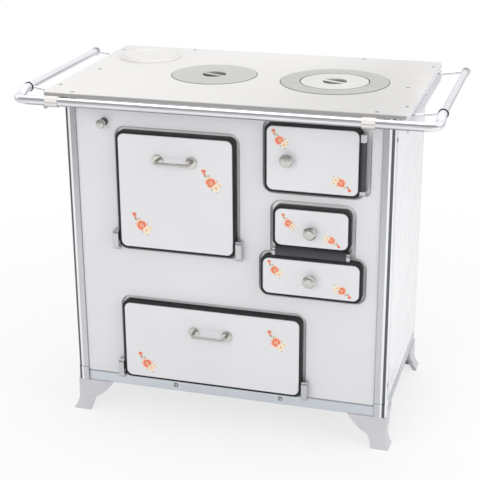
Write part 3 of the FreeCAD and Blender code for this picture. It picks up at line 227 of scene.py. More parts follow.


# Bands painted across a corner trim: where |x|, in metres, begins and ends each change of
# colour. They are painted shade on the inner edge, painted highlights and a dark painted reflection.
TRIM_EDGE_SHADE, TRIM_HIGHLIGHT, TRIM_DARK_REFLECTION = (0.30, 0.31, 0.32), (0.93, 0.94, 0.95), (0.13, 0.135, 0.14)
TRIM_FLAT = (0.3702, 0.3722)
TRIM_BANDS = [(0.3845, 0.3855, TRIM_HIGHLIGHT), (0.3898, 0.3908, TRIM_DARK_REFLECTION),
              (0.3964, 0.3974, TRIM_HIGHLIGHT)]
# Grey of the brushed flat by height, in metres: a painted reflection, darker towards the top.
TRIM_BY_HEIGHT = [(0.1, 0.66), (0.45, 0.60), (0.72, 0.45), (0.84, 0.40)]


def trim_metal(name):
    """Plated corner trim: inner edge in painted shade, brushed flat, painted highlights, dark
    painted reflection.
    """
    p = Paint(name, metallic=1.0)
    side = p.math("ABSOLUTE", p.axis("X"))
    flat = p.greys(p.axis("Z"), TRIM_BY_HEIGHT)
    lines = p.noise(70, 3, 0.6, (16, 16, 0.4))
    flat = p.tint(flat, p.ramp(lines, [(0.3, (0.9, 0.9, 0.92)), (0.7, (1.08, 1.08, 1.1))]))
    tone = p.mix(p.span(side, *TRIM_FLAT), TRIM_EDGE_SHADE, flat)
    # Painted highlights and a dark painted reflection, band by band across the trim.
    for start, end, colour in TRIM_BANDS:
        tone = p.mix(p.span(side, start, end), tone, colour)
    p.bump(lines, 0.1, 0.0002)
    return p.done(tone, p.span(lines, 0.3, 0.7, 0.16, 0.3))


# Greys by share of the rail's height: a painted dark underside, in place of a reflection.
RAIL_UNDERSIDE = [(0.0, 0.16), (0.12, 0.42), (0.26, 0.85), (0.4, 1.0), (1.0, 1.0)]


def rail_metal(name, colour, low, high):
    """Chromed tube, painted darker along its underside."""
    p = Paint(name, metallic=1.0)
    smear = p.noise(14, 4, 0.65)
    tone = p.cloudy(smear, colour, 0.97, 1.03)
    under = p.greys(p.span(p.axis("Z"), low, high), RAIL_UNDERSIDE)
    return p.done(p.tint(tone, under), p.span(smear, 0.3, 0.7, 0.06, 0.12))


# Greys by height about a clamp's middle, in metres: painted shade below, and the parting line.
CLAMP_SHADE_AND_LINE = [(-0.013, 0.5), (-0.009, 0.62), (-0.006, 0.9), (-0.0012, 0.95),
              (-0.0004, 0.35), (0.0004, 0.35), (0.0012, 0.98), (0.013, 1.0)]


def clamp_paint(name, colour, middle):
    """White painted clamp, with painted shade below and the parting line of its two halves."""
    p = Paint(name, coat=0.08, coat_rough=0.3)
    grain = p.noise(600, 2, 0.7)
    tone = p.cloudy(p.noise(20, 4), colour, 0.97, 1.02)
    height = p.math("SUBTRACT", p.axis("Z"), middle)
    line = p.greys(height, CLAMP_SHADE_AND_LINE)
    p.bump(grain, 0.08, 0.0002)
    return p.done(p.tint(tone, line), p.span(grain, 0.3, 0.7, 0.3, 0.4))


# Depths below the strip's top, in metres, between which it turns to painted shade.
STRIP_PLAIN, STRIP_SHADED = 0.0055, 0.003


def base_metal(name, colour, top):
    """Brushed strip, with painted shade where it meets the panel above it."""
    p = Paint(name, metallic=1.0)
    lines = p.noise(60, 3, 0.6, (0.5, 10, 14))
    tone = p.cloudy(p.noise(14, 4, 0.65), colour, 0.97, 1.03)
    # Painted shade along the top, where the panel above meets the strip.
    tone = p.mix(p.span(p.axis("Z"), top - STRIP_PLAIN, top - STRIP_SHADED), tone, shade(colour, 0.5))
    p.bump(lines, 0.12, 0.0002)
    return p.done(tone, p.span(lines, 0.35, 0.65, 0.28, 0.42))


RING_PITCH = 0.0016
HOB_RECESS = (0.8425, 0.8505)  # heights between which a recess turns from painted shade to paint
RIM_LINE = (0.0011, 0.0024)    # distances from a rim over which its painted shadow line fades


def hob_paint(name, colour, centre, rims):
    """Machined cast iron under grey heat proof paint: faint turning rings, painted shade at recesses
    and rims.
    """
    p = Paint(name)
    cx, cy = centre
    dx = p.math("SUBTRACT", p.axis("X"), cx)
    dy = p.math("SUBTRACT", p.axis("Y"), cy)
    far = p.math("SQRT", p.math("ADD", p.math("MULTIPLY", dx, dx), p.math("MULTIPLY", dy, dy)))
    rings = p.math("SINE", p.math("MULTIPLY", far, 2 * math.pi / RING_PITCH))
    cloud = p.noise(12, 5, 0.6)
    tone = p.cloudy(cloud, colour, 0.955, 1.035, 0.28, 0.72)
    tone = p.mix(p.span(rings, -1, 1, 0.0, 0.06), tone, shade(colour, 0.8))
    # Painted shade deep in the recesses, and a painted shadow line at each rim.
    depth = p.span(p.axis("Z"), *HOB_RECESS)
    tone = p.mix(depth, shade(colour, 0.07), tone)
    for rim in rims:
        off = p.math("ABSOLUTE", p.math("SUBTRACT", far, rim))
        tone = p.mix(p.span(off, *RIM_LINE), shade(colour, 0.3), tone)
    p.bump(rings, 0.1, 0.0001)
    p.bump(p.noise(500, 3, 0.7), 0.2, 0.0002)
    return p.done(tone, p.span(p.noise(30, 4), 0.3, 0.7, 0.42, 0.58))


# Greys across the hob plate by x, in metres, for its front and its rear. They stand for the
# mirror-like reflections of the photograph, and fade into each other along PLATE_TURN in y.
PLATE_FRONT = [(-0.43, 1.04), (-0.2, 1.0), (0.05, 0.95), (0.2, 0.84), (0.33, 0.79),
               (0.39, 0.82), (0.43, 0.93)]
PLATE_REAR = [(-0.43, 0.97), (0.1, 1.02), (0.3, 0.86), (0.43, 0.9)]
PLATE_TURN = (0.05, 0.24)
PLATE_FORE = (-0.2695, -0.2655)  # y of the front edge, painted darker than the side edges as painted shade
PLATE_SIDE_EDGE = (0.74, 0.735, 0.78)
PLATE_RIM = (0.0004, 0.0012)     # below and above the rim's height, where edge turns to top


def plate_paint(name, colour, rim=None):
    """Satin paint on a flat cast plate, cloudy with heat. With a rim height, its edge is painted,
    the front in painted shade.
    """
    p = Paint(name, coat=0.25, coat_rough=0.16)
    cloud = p.noise(3.2, 5, 0.6)
    tone = p.ramp(cloud, [(0.3, shade(colour, 0.97)), (0.55, colour),
                          (0.75, tuple(c * f for c, f in zip(colour, (1.02, 1.0, 0.97))))])
    grain = p.noise(520, 3, 0.7)
    tone = p.mix(p.span(grain, 0.6, 0.85, 0.0, 0.35), tone, shade(colour, 0.86))
    if rim:
        drift = p.span(p.noise(6, 4, 0.6), 0.3, 0.7, -0.03, 0.03)
        along = p.math("ADD", p.axis("X"), drift)
        back = p.span(p.math("ADD", p.axis("Y"), drift), *PLATE_TURN)
        tone = p.tint(tone, p.mix(back, p.greys(along, PLATE_FRONT), p.greys(along, PLATE_REAR)))
        # Painted shade: the front edge is painted darker than the side edges.
        fore = p.span(p.axis("Y"), *PLATE_FORE, 1.0, 0.0)
        edge = p.mix(fore, PLATE_SIDE_EDGE, shade(colour, 0.48))
        below, above = PLATE_RIM
        tone = p.mix(p.span(p.axis("Z"), rim - below, rim + above), edge, tone)
    p.bump(grain, 0.12, 0.0002)
    p.bump(p.noise(26, 3), 0.1, 0.0008)
    return p.done(tone, p.span(p.noise(18, 4), 0.3, 0.7, 0.3, 0.42))


STRAND_TURNS = 1500.0  # radians of weave per metre


def rope_weave(name, colour):
    """Braided rope: diagonal strands across its surface."""
    p = Paint(name)
    x, z, y = p.axis("X"), p.axis("Z"), p.axis("Y")
    run = p.math("ADD", x, z)
    back = p.math("SUBTRACT", x, z)
    one = p.math("SINE", p.math("MULTIPLY", p.math("ADD", run, y), STRAND_TURNS))
    two = p.math("SINE", p.math("MULTIPLY", p.math("SUBTRACT", back, y), STRAND_TURNS))
    strands = p.math("MAXIMUM", one, two)
    tone = p.mix(p.span(strands, -0.4, 1.0), shade(colour, 0.35), colour)
    fuzz = p.noise(900, 3, 0.7)
    tone = p.mix(p.span(fuzz, 0.4, 0.8, 0.0, 0.4), tone, shade(colour, 1.4))
    p.bump(strands, 0.8, 0.0006)
    p.shader.inputs["Sheen Weight"].default_value = 0.3
    return p.done(tone, p.span(fuzz, 0.3, 0.7, 0.85, 0.97))


def fire_brick(name, colour):
    """Pressed fireclay: speckled, chalky and pitted."""
    p = Paint(name)
    cloud = p.noise(20, 6, 0.7)
    tone = p.cloudy(cloud, colour, 0.78, 1.15)
    pits = p.add("ShaderNodeTexVoronoi", Scale=300.0)
    p.put(pits.inputs["Vector"], p.point())
    tone = p.mix(p.span(pits.outputs["Distance"], 0.05, 0.3), shade(colour, 0.5), tone)
    p.bump(pits.outputs["Distance"], 0.6, 0.0008)
    p.bump(cloud, 0.4, 0.002)
    return p.done(tone, p.span(cloud, 0.3, 0.7, 0.8, 0.95))


def raw_iron(name, colour):
    """Bare cast iron with a rough sand skin and a breath of rust."""
    p = Paint(name, metallic=0.35)
    cloud = p.noise(30, 6, 0.65)
    tone = p.ramp(cloud, [(0.35, shade(colour, 0.7)), (0.62, colour),
                          (0.8, (colour[0] * 1.9, colour[1] * 1.35, colour[2] * 1.0))])
    grain = p.noise(420, 3, 0.7)
    p.bump(grain, 0.5, 0.0005)
    p.bump(p.noise(70, 3), 0.3, 0.001)
    return p.done(tone, p.span(cloud, 0.3, 0.7, 0.55, 0.8))


def black_door(name, barrel):
    """Black stove enamel, with the hinge barrel painted a softer dark grey as a painted reflection.
    """
    colour = srgb(27, 28, 31)
    p = Paint(name, coat=0.04, coat_rough=0.2)
    p.shader.inputs["Specular IOR Level"].default_value = 0.35
    cloud = p.noise(16, 5)
    tone = p.cloudy(cloud, colour, 0.85, 1.15)
    if barrel:
        axis, edge, soft = barrel
        # Painted reflection: the hinge barrel is painted a lighter dark grey than the door.
        barrel_reflection = p.span(p.axis(axis), edge, edge + soft)
        tone = p.mix(barrel_reflection, tone, srgb(66, 67, 71))
    grain = p.noise(650, 2, 0.7)
    p.bump(grain, 0.18, 0.0002)
    p.bump(p.noise(55, 3), 0.15, 0.0008)
    return p.done(tone, p.span(p.noise(40, 4), 0.3, 0.7, 0.34, 0.46))


BARREL_CLEAR = 0.006   # a barrel's grey starts this far outside its door's face
fire_edge = box("fire_door_face")[1].x + BARREL_CLEAR
ash_edge = box("ash_door_face")[0].z - BARREL_CLEAR
left_low, left_high = box("hob_left_disc")
ring_low, ring_high = box("hob_right_ring")
left_centre = ((left_low.x + left_high.x) / 2, (left_low.y + left_high.y) / 2)
ring_centre = ((ring_low.x + ring_high.x) / 2, (ring_low.y + ring_high.y) / 2)
disc_low, disc_high = box("hob_right_disc")
panel_front = box("front_panel")[0].y
plate_top = box("top_plate")[1].z
rail_low, rail_high = box("front_rail")
clamp_middle = (rail_low.z + rail_high.z) / 2
hob_rims = [(ring_high.x - ring_low.x) / 2, (disc_high.x - disc_low.x) / 2]
left_rim = (left_high.x - left_low.x) / 2
PLATE_EDGE_DEEP = 0.0018  # how far below the plate's top its edge begins
CHROME = (0.83, 0.84, 0.86)
NICKEL = (0.63, 0.62, 0.58)
finish = {
    "panel_enamel": enamel("panel_enamel", srgb(223, 223, 225), recess=panel_front),
    # Painted light: the side panels' enamel is painted lighter than the front's, as the lit side.
    "side_enamel": enamel("side_enamel", srgb(243, 242, 244), wave=0.03),
    "apron_enamel": enamel("apron_enamel", srgb(222, 220, 228)),
    "screw_dark": bright_metal("screw_dark", (0.20, 0.20, 0.21), 0.3),
    "door_enamel": enamel("door_enamel", srgb(225, 225, 227)),
    "plate_enamel": plate_paint("plate_enamel", srgb(231, 229, 225)),
    "top_enamel": plate_paint("top_enamel", srgb(231, 229, 225), plate_top - PLATE_EDGE_DEEP),
    "hob_left": hob_paint("hob_left_grey", srgb(197, 197, 192), left_centre, [left_rim]),
    "hob_ring": hob_paint("hob_ring_grey", srgb(189, 190, 185), ring_centre, hob_rims),
    "hob_right": hob_paint("hob_right_grey", srgb(222, 222, 218), ring_centre, hob_rims[1:]),
    "chrome": bright_metal("chrome", CHROME, 0.09),
    "nickel": bright_metal("nickel", NICKEL, 0.12),
    "chrome_rail": rail_metal("chrome_rail", CHROME, rail_low.z, rail_high.z),
    "chrome_trim": trim_metal("chrome_trim"),
    "base_steel": base_metal("base_steel", srgb(218, 223, 228), box("base_frame")[1].z),
    "foot_iron": stove_paint("foot_iron", srgb(207, 205, 209), 0.5, 0.35),
    "lug_steel": bright_metal("lug_steel", (0.62, 0.62, 0.63), 0.24, (6, 6, 6), 0.12),
    "clamp": clamp_paint("clamp_white", srgb(238, 233, 230), clamp_middle),
    "hinge_grey": stove_paint("hinge_grey", srgb(95, 95, 98), 0.45, 0.25),
    "inner_steel": bright_metal("inner_steel", (0.46, 0.46, 0.47), 0.4, (1, 1, 14), 0.2, 0.08),
    "oven_steel": stove_paint("oven_steel", srgb(74, 75, 79), 0.32, 0.12),
    "raw_iron": raw_iron("raw_iron", srgb(84, 82, 82)),
    "fireclay": fire_brick("fireclay", srgb(206, 182, 148)),
    "rope": rope_weave("rope", srgb(150, 150, 148)),
    "door_black": black_door("door_black", None),
    "ash_black": black_door("ash_black", ("Z", ash_edge, -0.004)),
    "fire_black": black_door("fire_black", ("X", fire_edge, 0.003)),
}

by_node = {
    "hob_left_disc": "hob_left", "hob_right_ring": "hob_ring", "hob_right_disc": "hob_right",
    "plate_screws": "screw_dark", "top_plate": "top_enamel", "side_panel_left": "side_enamel",
    "side_panel_right": "side_enamel", "oven_door_handle": "nickel",
    "store_door_handle": "nickel", "fire_door_knob": "nickel", "ash_door_knob": "nickel",
    "ash_drawer_knob": "nickel", "damper_knob": "nickel",
    "front_rail": "chrome_rail", "side_rail_left": "chrome", "side_rail_right": "chrome",
    "trim_front_left": "chrome_trim", "trim_front_right": "chrome_trim",
    "ash_door_body": "ash_black", "fire_door_body": "fire_black", "rail_clamps": "clamp",
}
for entry in frame["record"]["subparts"]:
    node = entry["node"]
    key = by_node.get(node, entry["material_slot"])
    mesh = nodes[node].data
    mesh.materials.clear()
    mesh.materials.append(finish[key])

# ------------------------------------------------------------------ mesh pieces


def piece(name, mesh, body, materials=()):
    """A finished mesh as a piece that rides on a body."""
    for mat in materials:
        mesh.materials.append(mat)
    obj = bpy.data.objects.new(name, mesh)
    scene.collection.objects.link(obj)
    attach(obj, body)
    return obj


def lathe(bm, centre, out, profile, steps=40, material=0):
    """Turns (radius, height) points about the line through centre along out."""
    out = Vector(out).normalized()
    side = out.orthogonal().normalized()
    across = out.cross(side)
    rings = []
    for radius, height in profile:
        if radius < 1e-7:
            rings.append([bm.verts.new(Vector(centre) + out * height)])
            continue
        ring = []
        for i in range(steps):
            a = 2 * math.pi * i / steps
            way = side * math.cos(a) + across * math.sin(a)
            ring.append(bm.verts.new(Vector(centre) + out * height + way * radius))
        rings.append(ring)
    for low, high in zip(rings, rings[1:]):
        for i in range(steps):
            j = (i + 1) % steps
            if len(high) == 1:
                corners = (low[i], low[j], high[0])
            elif len(low) == 1:
                corners = (low[0], high[j], high[i])
            else:
                corners = (low[i], low[j], high[j], high[i])
            face = bm.faces.new(corners)
            face.material_index = material
            face.smooth = True


def end_mesh(bm, name, angle=35):
    mesh = bpy.data.meshes.new(name)
    bm.to_mesh(mesh)
    bm.free()
    mesh.set_sharp_from_angle(angle=math.radians(angle))
    return mesh


SAME_HEAD = 0.02  # points nearer than this belong to one screw
WASHER_WIDER, WASHER_SIDE, WASHER_THICK = 0.0016, 0.0006, 0.0008
# Profiles in shares of a head's radius and height.
HEAD_DOME = [(1, 0), (1, 0.35), (0.93, 0.7), (0.72, 0.94), (0.55, 1)]
HEAD_SOCKET = [(0.55, 1), (0.5, 0.25), (0, 0.2)]


# Cap screws on washers: domed heads with a hexagon socket, in the base strip and the trims.
def cap_screws():
    source = nodes["body_screws"].data
    points = [v.co.copy() for v in source.vertices]
    heads = []
    for p in points:
        for head in heads:
            if (head[0] - p).length < SAME_HEAD:
                head[1].append(p)
                break
        else:
            heads.append([p.copy(), [p]])
    bm = bmesh.new()
    for _, group in heads:
        low = Vector(min(p[i] for p in group) for i in range(3))
        high = Vector(max(p[i] for p in group) for i in range(3))
        middle, size = (low + high) / 2, high - low
        if size.x < size.y:
            out = Vector((1 if middle.x > 0 else -1, 0, 0))
        else:
            out = Vector((0, -1, 0))
        deep = min(size) / 2
        radius = max(size) / 2
        base = middle - out * deep
        top = deep * 2
        wide = radius + WASHER_WIDER
        # The washers and sockets take the dark grey: a painted shadow round each head and painted
        # shade in its socket.
        lathe(bm, base, out, [(wide, 0), (wide, WASHER_SIDE), (radius, WASHER_THICK)], 32, 1)
        lathe(bm, base, out, [(radius * r, top * h) for r, h in HEAD_DOME], 32)
        lathe(bm, base, out, [(radius * r, top * h) for r, h in HEAD_SOCKET], 6, 1)
    obj = piece("cap_screw_heads", end_mesh(bm, "cap_screw_heads"), "cooker",
                [finish["chrome"], finish["hinge_grey"]])
    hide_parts("body_screws")


cap_screws()


APRON_OUTER, APRON_INNER = 0.0003, 0.0030  # inside the plate's side edge
APRON_SHORT, APRON_TALL, APRON_ROUND = 0.003, 0.027, 0.010
APRON_STEPS, APRON_SOFT = 6, 0.0008


# Folded strips under the two side edges of the hob plate.
def aprons():
    low, high = box("top_plate")
    bm = bmesh.new()
    for side in (-1, 1):
        outer = (high.x - APRON_OUTER) * side
        inner = (high.x - APRON_INNER) * side
        front, rear = low.y + APRON_SHORT, high.y - APRON_SHORT
        bottom = low.z - APRON_TALL
        outline = [(front, low.z)]
        for i in range(APRON_STEPS + 1):
            a = math.pi / 2 * i / APRON_STEPS
            outline.append((front + APRON_ROUND * (1 - math.cos(a)),
                            bottom + APRON_ROUND * (1 - math.sin(a))))
        outline += [(front + rear - y, z) for y, z in reversed(outline)]
        loops = []
        for x in (inner, outer):
            loops.append([bm.verts.new((x, y, z)) for y, z in outline])
        for loop in loops:
            bm.faces.new(loop)
        for i in range(len(outline)):
            j = (i + 1) % len(outline)
            bm.faces.new((loops[0][i], loops[0][j], loops[1][j], loops[1][i]))
    bmesh.ops.recalc_face_normals(bm, faces=bm.faces)
    rims = [e for e in bm.edges if len(e.link_faces) == 2 and e.calc_face_angle(0) > 1.2]
    bmesh.ops.bevel(bm, geom=rims, offset=APRON_SOFT, segments=2, affect="EDGES")
    piece("plate_aprons", end_mesh(bm, "plate_aprons"), "cooker",
          [finish["apron_enamel"]])


aprons()


# Each ring's profile: (how far inside the collar's radius, height), in metres.
COLLAR_PROFILE = [(0.003, 0.0), (0.0002, 0.0), (0.0, 0.0004), (0.0, 0.0018),
                  (0.0003, 0.0022), (0.003, 0.0024)]


# Dark rings where the side rails' front collars meet the elbows.
def collar_rings():
    bm = bmesh.new()
    for node in ("side_rail_left", "side_rail_right"):
        low, high = box(node)
        radius = (high.x - low.x) / 2
        middle = ((low.x + high.x) / 2, low.y, (low.z + high.z) / 2)
        lathe(bm, middle, (0, -1, 0), [(radius - less, up) for less, up in COLLAR_PROFILE])
    piece("collar_rings", end_mesh(bm, "collar_rings"), "cooker",
          [finish["door_black"]])


collar_rings()

# ------------------------------------------------------------------ painted sprays


def petal_paint(name, stops, streaks=0.25):
    """Brushed petal colour: from its root outward along U, streaked along its length."""
    p = Paint(name, coat=0.5, coat_rough=0.05)
    uv = p.add("ShaderNodeSeparateXYZ", Vector=p.coords.outputs["UV"])
    streak = p.noise(9, 3, 0.6, (0.6, 3.0, 1), "UV")
    along = p.math("ADD", uv.outputs["X"], p.span(streak, 0.3, 0.7, -streaks / 2, streaks / 2))
    tone = p.ramp(along, stops)
    grain = p.noise(900, 2)
    tone = p.mix(p.span(grain, 0.55, 0.75, 0, 0.12), tone, (0.85, 0.78, 0.72))
    return p.done(tone, p.span(grain, 0.3, 0.7, 0.2, 0.28))


coral = petal_paint("petal_coral", [(0.0, srgb(198, 66, 34)), (0.3, srgb(216, 82, 44)),
                                    (0.65, srgb(230, 106, 62)), (1.0, srgb(241, 150, 110))])
apricot = petal_paint("petal_apricot", [(0.0, srgb(224, 110, 74)), (0.5, srgb(240, 164, 132)),
                                        (1.0, srgb(248, 212, 190))])
cream = petal_paint("petal_cream", [(0.0, srgb(226, 170, 110)), (0.35, srgb(244, 222, 188)),
                                    (1.0, srgb(246, 236, 220))], 0.2)
sage = petal_paint("leaf_sage", [(0.0, srgb(122, 142, 104)), (0.5, srgb(158, 176, 142)),
                                 (1.0, srgb(200, 212, 186))])
seed = petal_paint("seed_gold", [(0.0, srgb(196, 118, 62)), (0.6, srgb(220, 150, 78)),
                                 (1.0, srgb(232, 180, 100))], 0.4)
SPRAY = [coral, apricot, cream, sage, seed]


FIRST_LIFT, NEXT_LIFT = 0.00002, 0.000006  # each shape lies just in front of the one before
SAGE = 3  # place of the leaf colour in SPRAY


class Spray:
    """Flat painted shapes on a door face, in millimetres about the spray's own middle."""

    def __init__(self, middle, turn, size, plane):
        self.bm = bmesh.new()
        self.uv = self.bm.loops.layers.uv.new("UVMap")
        self.middle = middle
        self.turn = math.radians(turn)
        self.size = size
        self.plane = plane
        self.drawn = 0

    def spot(self, x, y):
        c, s = math.cos(self.turn), math.sin(self.turn)
        px = (x * c - y * s) * self.size / 1000
        pz = (x * s + y * c) * self.size / 1000
        lift = FIRST_LIFT + NEXT_LIFT * self.drawn
        return Vector((self.middle[0] + px, self.plane - lift, self.middle[1] + pz))

    def leaf(self, x, y, angle, length, width, colour, tip=0.5, curl=0.0, notch=0.0):
        """A petal or leaf: a strip that widens to tip and closes again."""
        self.drawn += 1
        a = math.radians(angle)
        rows, steps = [], 9
        for i in range(steps + 1):
            t = i / steps
            swell = math.sin(math.pi * t ** (math.log(0.5) / math.log(tip))) ** 0.8
            half = width / 2 * max(swell, 0.03)
            bend = curl * length * t * t
            row = []
            for j, across in enumerate((-1, -0.5, 0, 0.5, 1)):
                reach = length * t - notch * length * t ** 6 * (1 - across * across)
                dx = reach * math.cos(a) - (half * across + bend) * math.sin(a)
                dy = reach * math.sin(a) + (half * across + bend) * math.cos(a)
                row.append((self.bm.verts.new(self.spot(x + dx, y + dy)), (t, j / 4)))
            rows.append(row)
        for low, high in zip(rows, rows[1:]):
            for k in range(4):
                corners = (low[k], low[k + 1], high[k + 1], high[k])
                face = self.bm.faces.new([v for v, _ in corners])
                face.material_index = colour
                for loop, (_, uv) in zip(face.loops, corners):
                    loop[self.uv].uv = uv

    def dot(self, x, y, radius, colour, steps=14):
        self.drawn += 1
        middle = self.bm.verts.new(self.spot(x, y))
        rim = []
        for i in range(steps):
            a = 2 * math.pi * i / steps
            rim.append(self.bm.verts.new(self.spot(x + radius * math.cos(a),
                                                   y + radius * math.sin(a))))
        for i in range(steps):
            face = self.bm.faces.new((middle, rim[i], rim[(i + 1) % steps]))
            face.material_index = colour
            for loop, u in zip(face.loops, (0.0, 1.0, 1.0)):
                loop[self.uv].uv = (u, i / steps)

    def stem(self, points, width):
        for (x0, y0), (x1, y1) in zip(points, points[1:]):
            angle = math.degrees(math.atan2(y1 - y0, x1 - x0))
            self.leaf(x0, y0, angle, math.hypot(x1 - x0, y1 - y0) * 1.25, width, SAGE, 0.5)


# The spray, in millimetres: stems (points, width), leaves (x, y, angle, length), bud petals
# (angle, length, colour), small blossoms (x, y, reach) and loose dots (x, y).
STEMS = (([(-27, 8), (-20, 5), (-12, 4), (-2, 2), (9, -3), (18, -4)], 1.3),
         ([(9, -3), (13, 3), (17, 8)], 1.0))
LEAVES = ((-17, 5, 205, 9), (-12, 5, 118, 10), (-8, 0, 235, 11), (10, -6, 292, 10),
          (22, -6, 325, 8), (20, 4, 42, 9), (9, 8, 96, 9), (-22, 6, 262, 6))
BUD = ((110, 8.5, 1), (140, 10.5, 0), (170, 11.5, 0), (200, 9.0, 1), (320, 7.0, 0))
BLOSSOMS = ((17, -2, 10.5), (19, 10, 6.4))
DOTS = ((8, 14), (-9, -10), (28, -9), (-15, 12))


def make_spray(name, body, face, middle, turn, size, seed_number):
    dice = random.Random(seed_number)
    plane = box(face)[0].y
    s = Spray((middle[0] / 1000, middle[1] / 1000), turn, size, plane)
    for points, width in STEMS:
        s.stem(points, width)
    for x, y, angle, length in LEAVES:
        s.leaf(x, y, angle + dice.uniform(-8, 8), length, 4.0, SAGE, 0.45, 0.12)
    for i in range(7):
        s.leaf(0, 0, i * 51.4 + dice.uniform(-7, 7), dice.uniform(14.0, 17.5), 12.0, 1, 0.64,
               0.05, 0.12)
    for i in range(6):
        s.leaf(0, 0, i * 60 + 20 + dice.uniform(-7, 7), dice.uniform(11.0, 13.5), 10.0, 0, 0.62,
               0.05, 0.1)
    for i in range(5):
        s.leaf(0, 0, i * 72 + 30, 6.0, 5.2, 1, 0.6)
    s.dot(0, 0, 1.9, 4)
    for angle, length, colour in BUD:
        s.leaf(-26, 8, angle, length, 5.8, colour, 0.6)
    s.dot(-26, 8, 1.5, SAGE)
    for x, y, reach in BLOSSOMS:
        for i in range(8):
            s.leaf(x, y, i * 45 + dice.uniform(-5, 5), reach, reach * 0.55, 2, 0.66)
        s.dot(x, y, 1.6, 4)
    for i in range(6):
        a = math.radians(i * 60 + 15)
        s.dot(17 + 5.0 * math.cos(a), -2 + 5.0 * math.sin(a), 0.8, 1, 7)
    for x, y in DOTS:
        s.dot(x, y, 1.2, 1)
    piece(name, end_mesh(s.bm, name), body, SPRAY)


# Name, body, face, middle (x, z) in millimetres, turn in degrees, size and random seed.
for spec in (
    ("spray_oven_upper", "oven_door", "oven_door_face", (-29, 648), -38, 1.0, 1),
    ("spray_oven_lower", "oven_door", "oven_door_face", (-206, 526), -38, 1.0, 2),
    ("spray_fire_upper", "fire_door", "fire_door_face", (136, 764), -38, 0.82, 3),
    ("spray_fire_lower", "fire_door", "fire_door_face", (280, 674), 160, 0.80, 4),
    ("spray_ash_upper", "ash_door", "ash_door_face", (158, 566), -38, 0.72, 5),
    ("spray_ash_lower", "ash_door", "ash_door_face", (261, 533), 160, 0.68, 6),
    ("spray_drawer_upper", "ash_drawer", "ash_drawer_face", (126, 445), -38, 0.78, 7),
    ("spray_drawer_lower", "ash_drawer", "ash_drawer_face", (288, 410), 160, 0.74, 8),
    ("spray_store_upper", "store_door", "store_door_face", (130, 257), -38, 0.95, 9),
    ("spray_store_lower", "store_door", "store_door_face", (-205, 157), -38, 0.95, 10),
):
    make_spray(*spec)

# ------------------------------------------------------------------ camera

# The pinhole camera that was fitted to the photograph: focal length in its pixels, place in
# metres and turns in radians.
SENSOR, FOCAL_PIXELS, PHOTO_PIXELS = 36, 1233.9, 480
CAMERA_AT = (0.8108, -2.8560, 1.5382)
cam = bpy.data.cameras.new("camera")
cam.sensor_width = SENSOR
cam.lens = SENSOR * FOCAL_PIXELS / PHOTO_PIXELS
camera = bpy.data.objects.new("camera", cam)
scene.collection.objects.link(camera)
yaw, pitch, roll = 0.2861, 0.3595, -0.0067
ahead = Vector((-math.sin(yaw) * math.cos(pitch), math.cos(yaw) * math.cos(pitch),
                -math.sin(pitch)))
right = Vector((math.cos(yaw), math.sin(yaw), 0))
up = right.cross(ahead)
right, up = (right * math.cos(roll) + up * math.sin(roll),
             up * math.cos(roll) - right * math.sin(roll))
camera.matrix_world = Matrix(((right.x, up.x, -ahead.x, CAMERA_AT[0]),
                              (right.y, up.y, -ahead.y, CAMERA_AT[1]),
                              (right.z, up.z, -ahead.z, CAMERA_AT[2]), (0, 0, 0, 1)))
scene.camera = camera

# ------------------------------------------------------------------ light and floor

world = bpy.data.worlds.new("studio")
scene.world = world
world.use_nodes = True
wt = world.node_tree
wt.nodes.clear()


def wnode(kind):
    return wt.nodes.new(kind)


# Glossy rays see a graded room, not the white background. Its angle runs from level in front
# (0) over the top (90) to level behind (180): dimmest at 42, brightest from 95 to 140.
ways = wnode("ShaderNodeTexCoord")
split = wnode("ShaderNodeSeparateXYZ")
wt.links.new(ways.outputs["Generated"], split.inputs[0])
ahead_of = wnode("ShaderNodeMath")
ahead_of.operation = "MULTIPLY"
ahead_of.inputs[1].default_value = -1.0
wt.links.new(split.outputs["Y"], ahead_of.inputs[0])
turn = wnode("ShaderNodeMath")
turn.operation = "ARCTAN2"
wt.links.new(split.outputs["Z"], turn.inputs[0])
wt.links.new(ahead_of.outputs[0], turn.inputs[1])
lift = wnode("ShaderNodeMapRange")
lift.inputs[1].default_value, lift.inputs[2].default_value = -math.pi, math.pi
wt.links.new(turn.outputs[0], lift.inputs[0])
heaven = wnode("ShaderNodeValToRGB")
ROOM = [(-180, 0.9), (-20, 0.85), (0, 0.74), (21, 0.50), (42, 0.33), (60, 0.52), (78, 0.95),
        (95, 1.15), (140, 1.15), (165, 0.95), (180, 0.9)]
while len(heaven.color_ramp.elements) < len(ROOM):
    heaven.color_ramp.elements.new(1.0)
for element, (degrees, value) in zip(heaven.color_ramp.elements, ROOM):
    element.position = (degrees + 180) / 360
    element.color = (value, value, value * 1.02, 1)
wt.links.new(lift.outputs[0], heaven.inputs["Fac"])


def background(colour, strength):
    node = wnode("ShaderNodeBackground")
    node.inputs["Color"].default_value = colour
    node.inputs["Strength"].default_value = strength
    return node


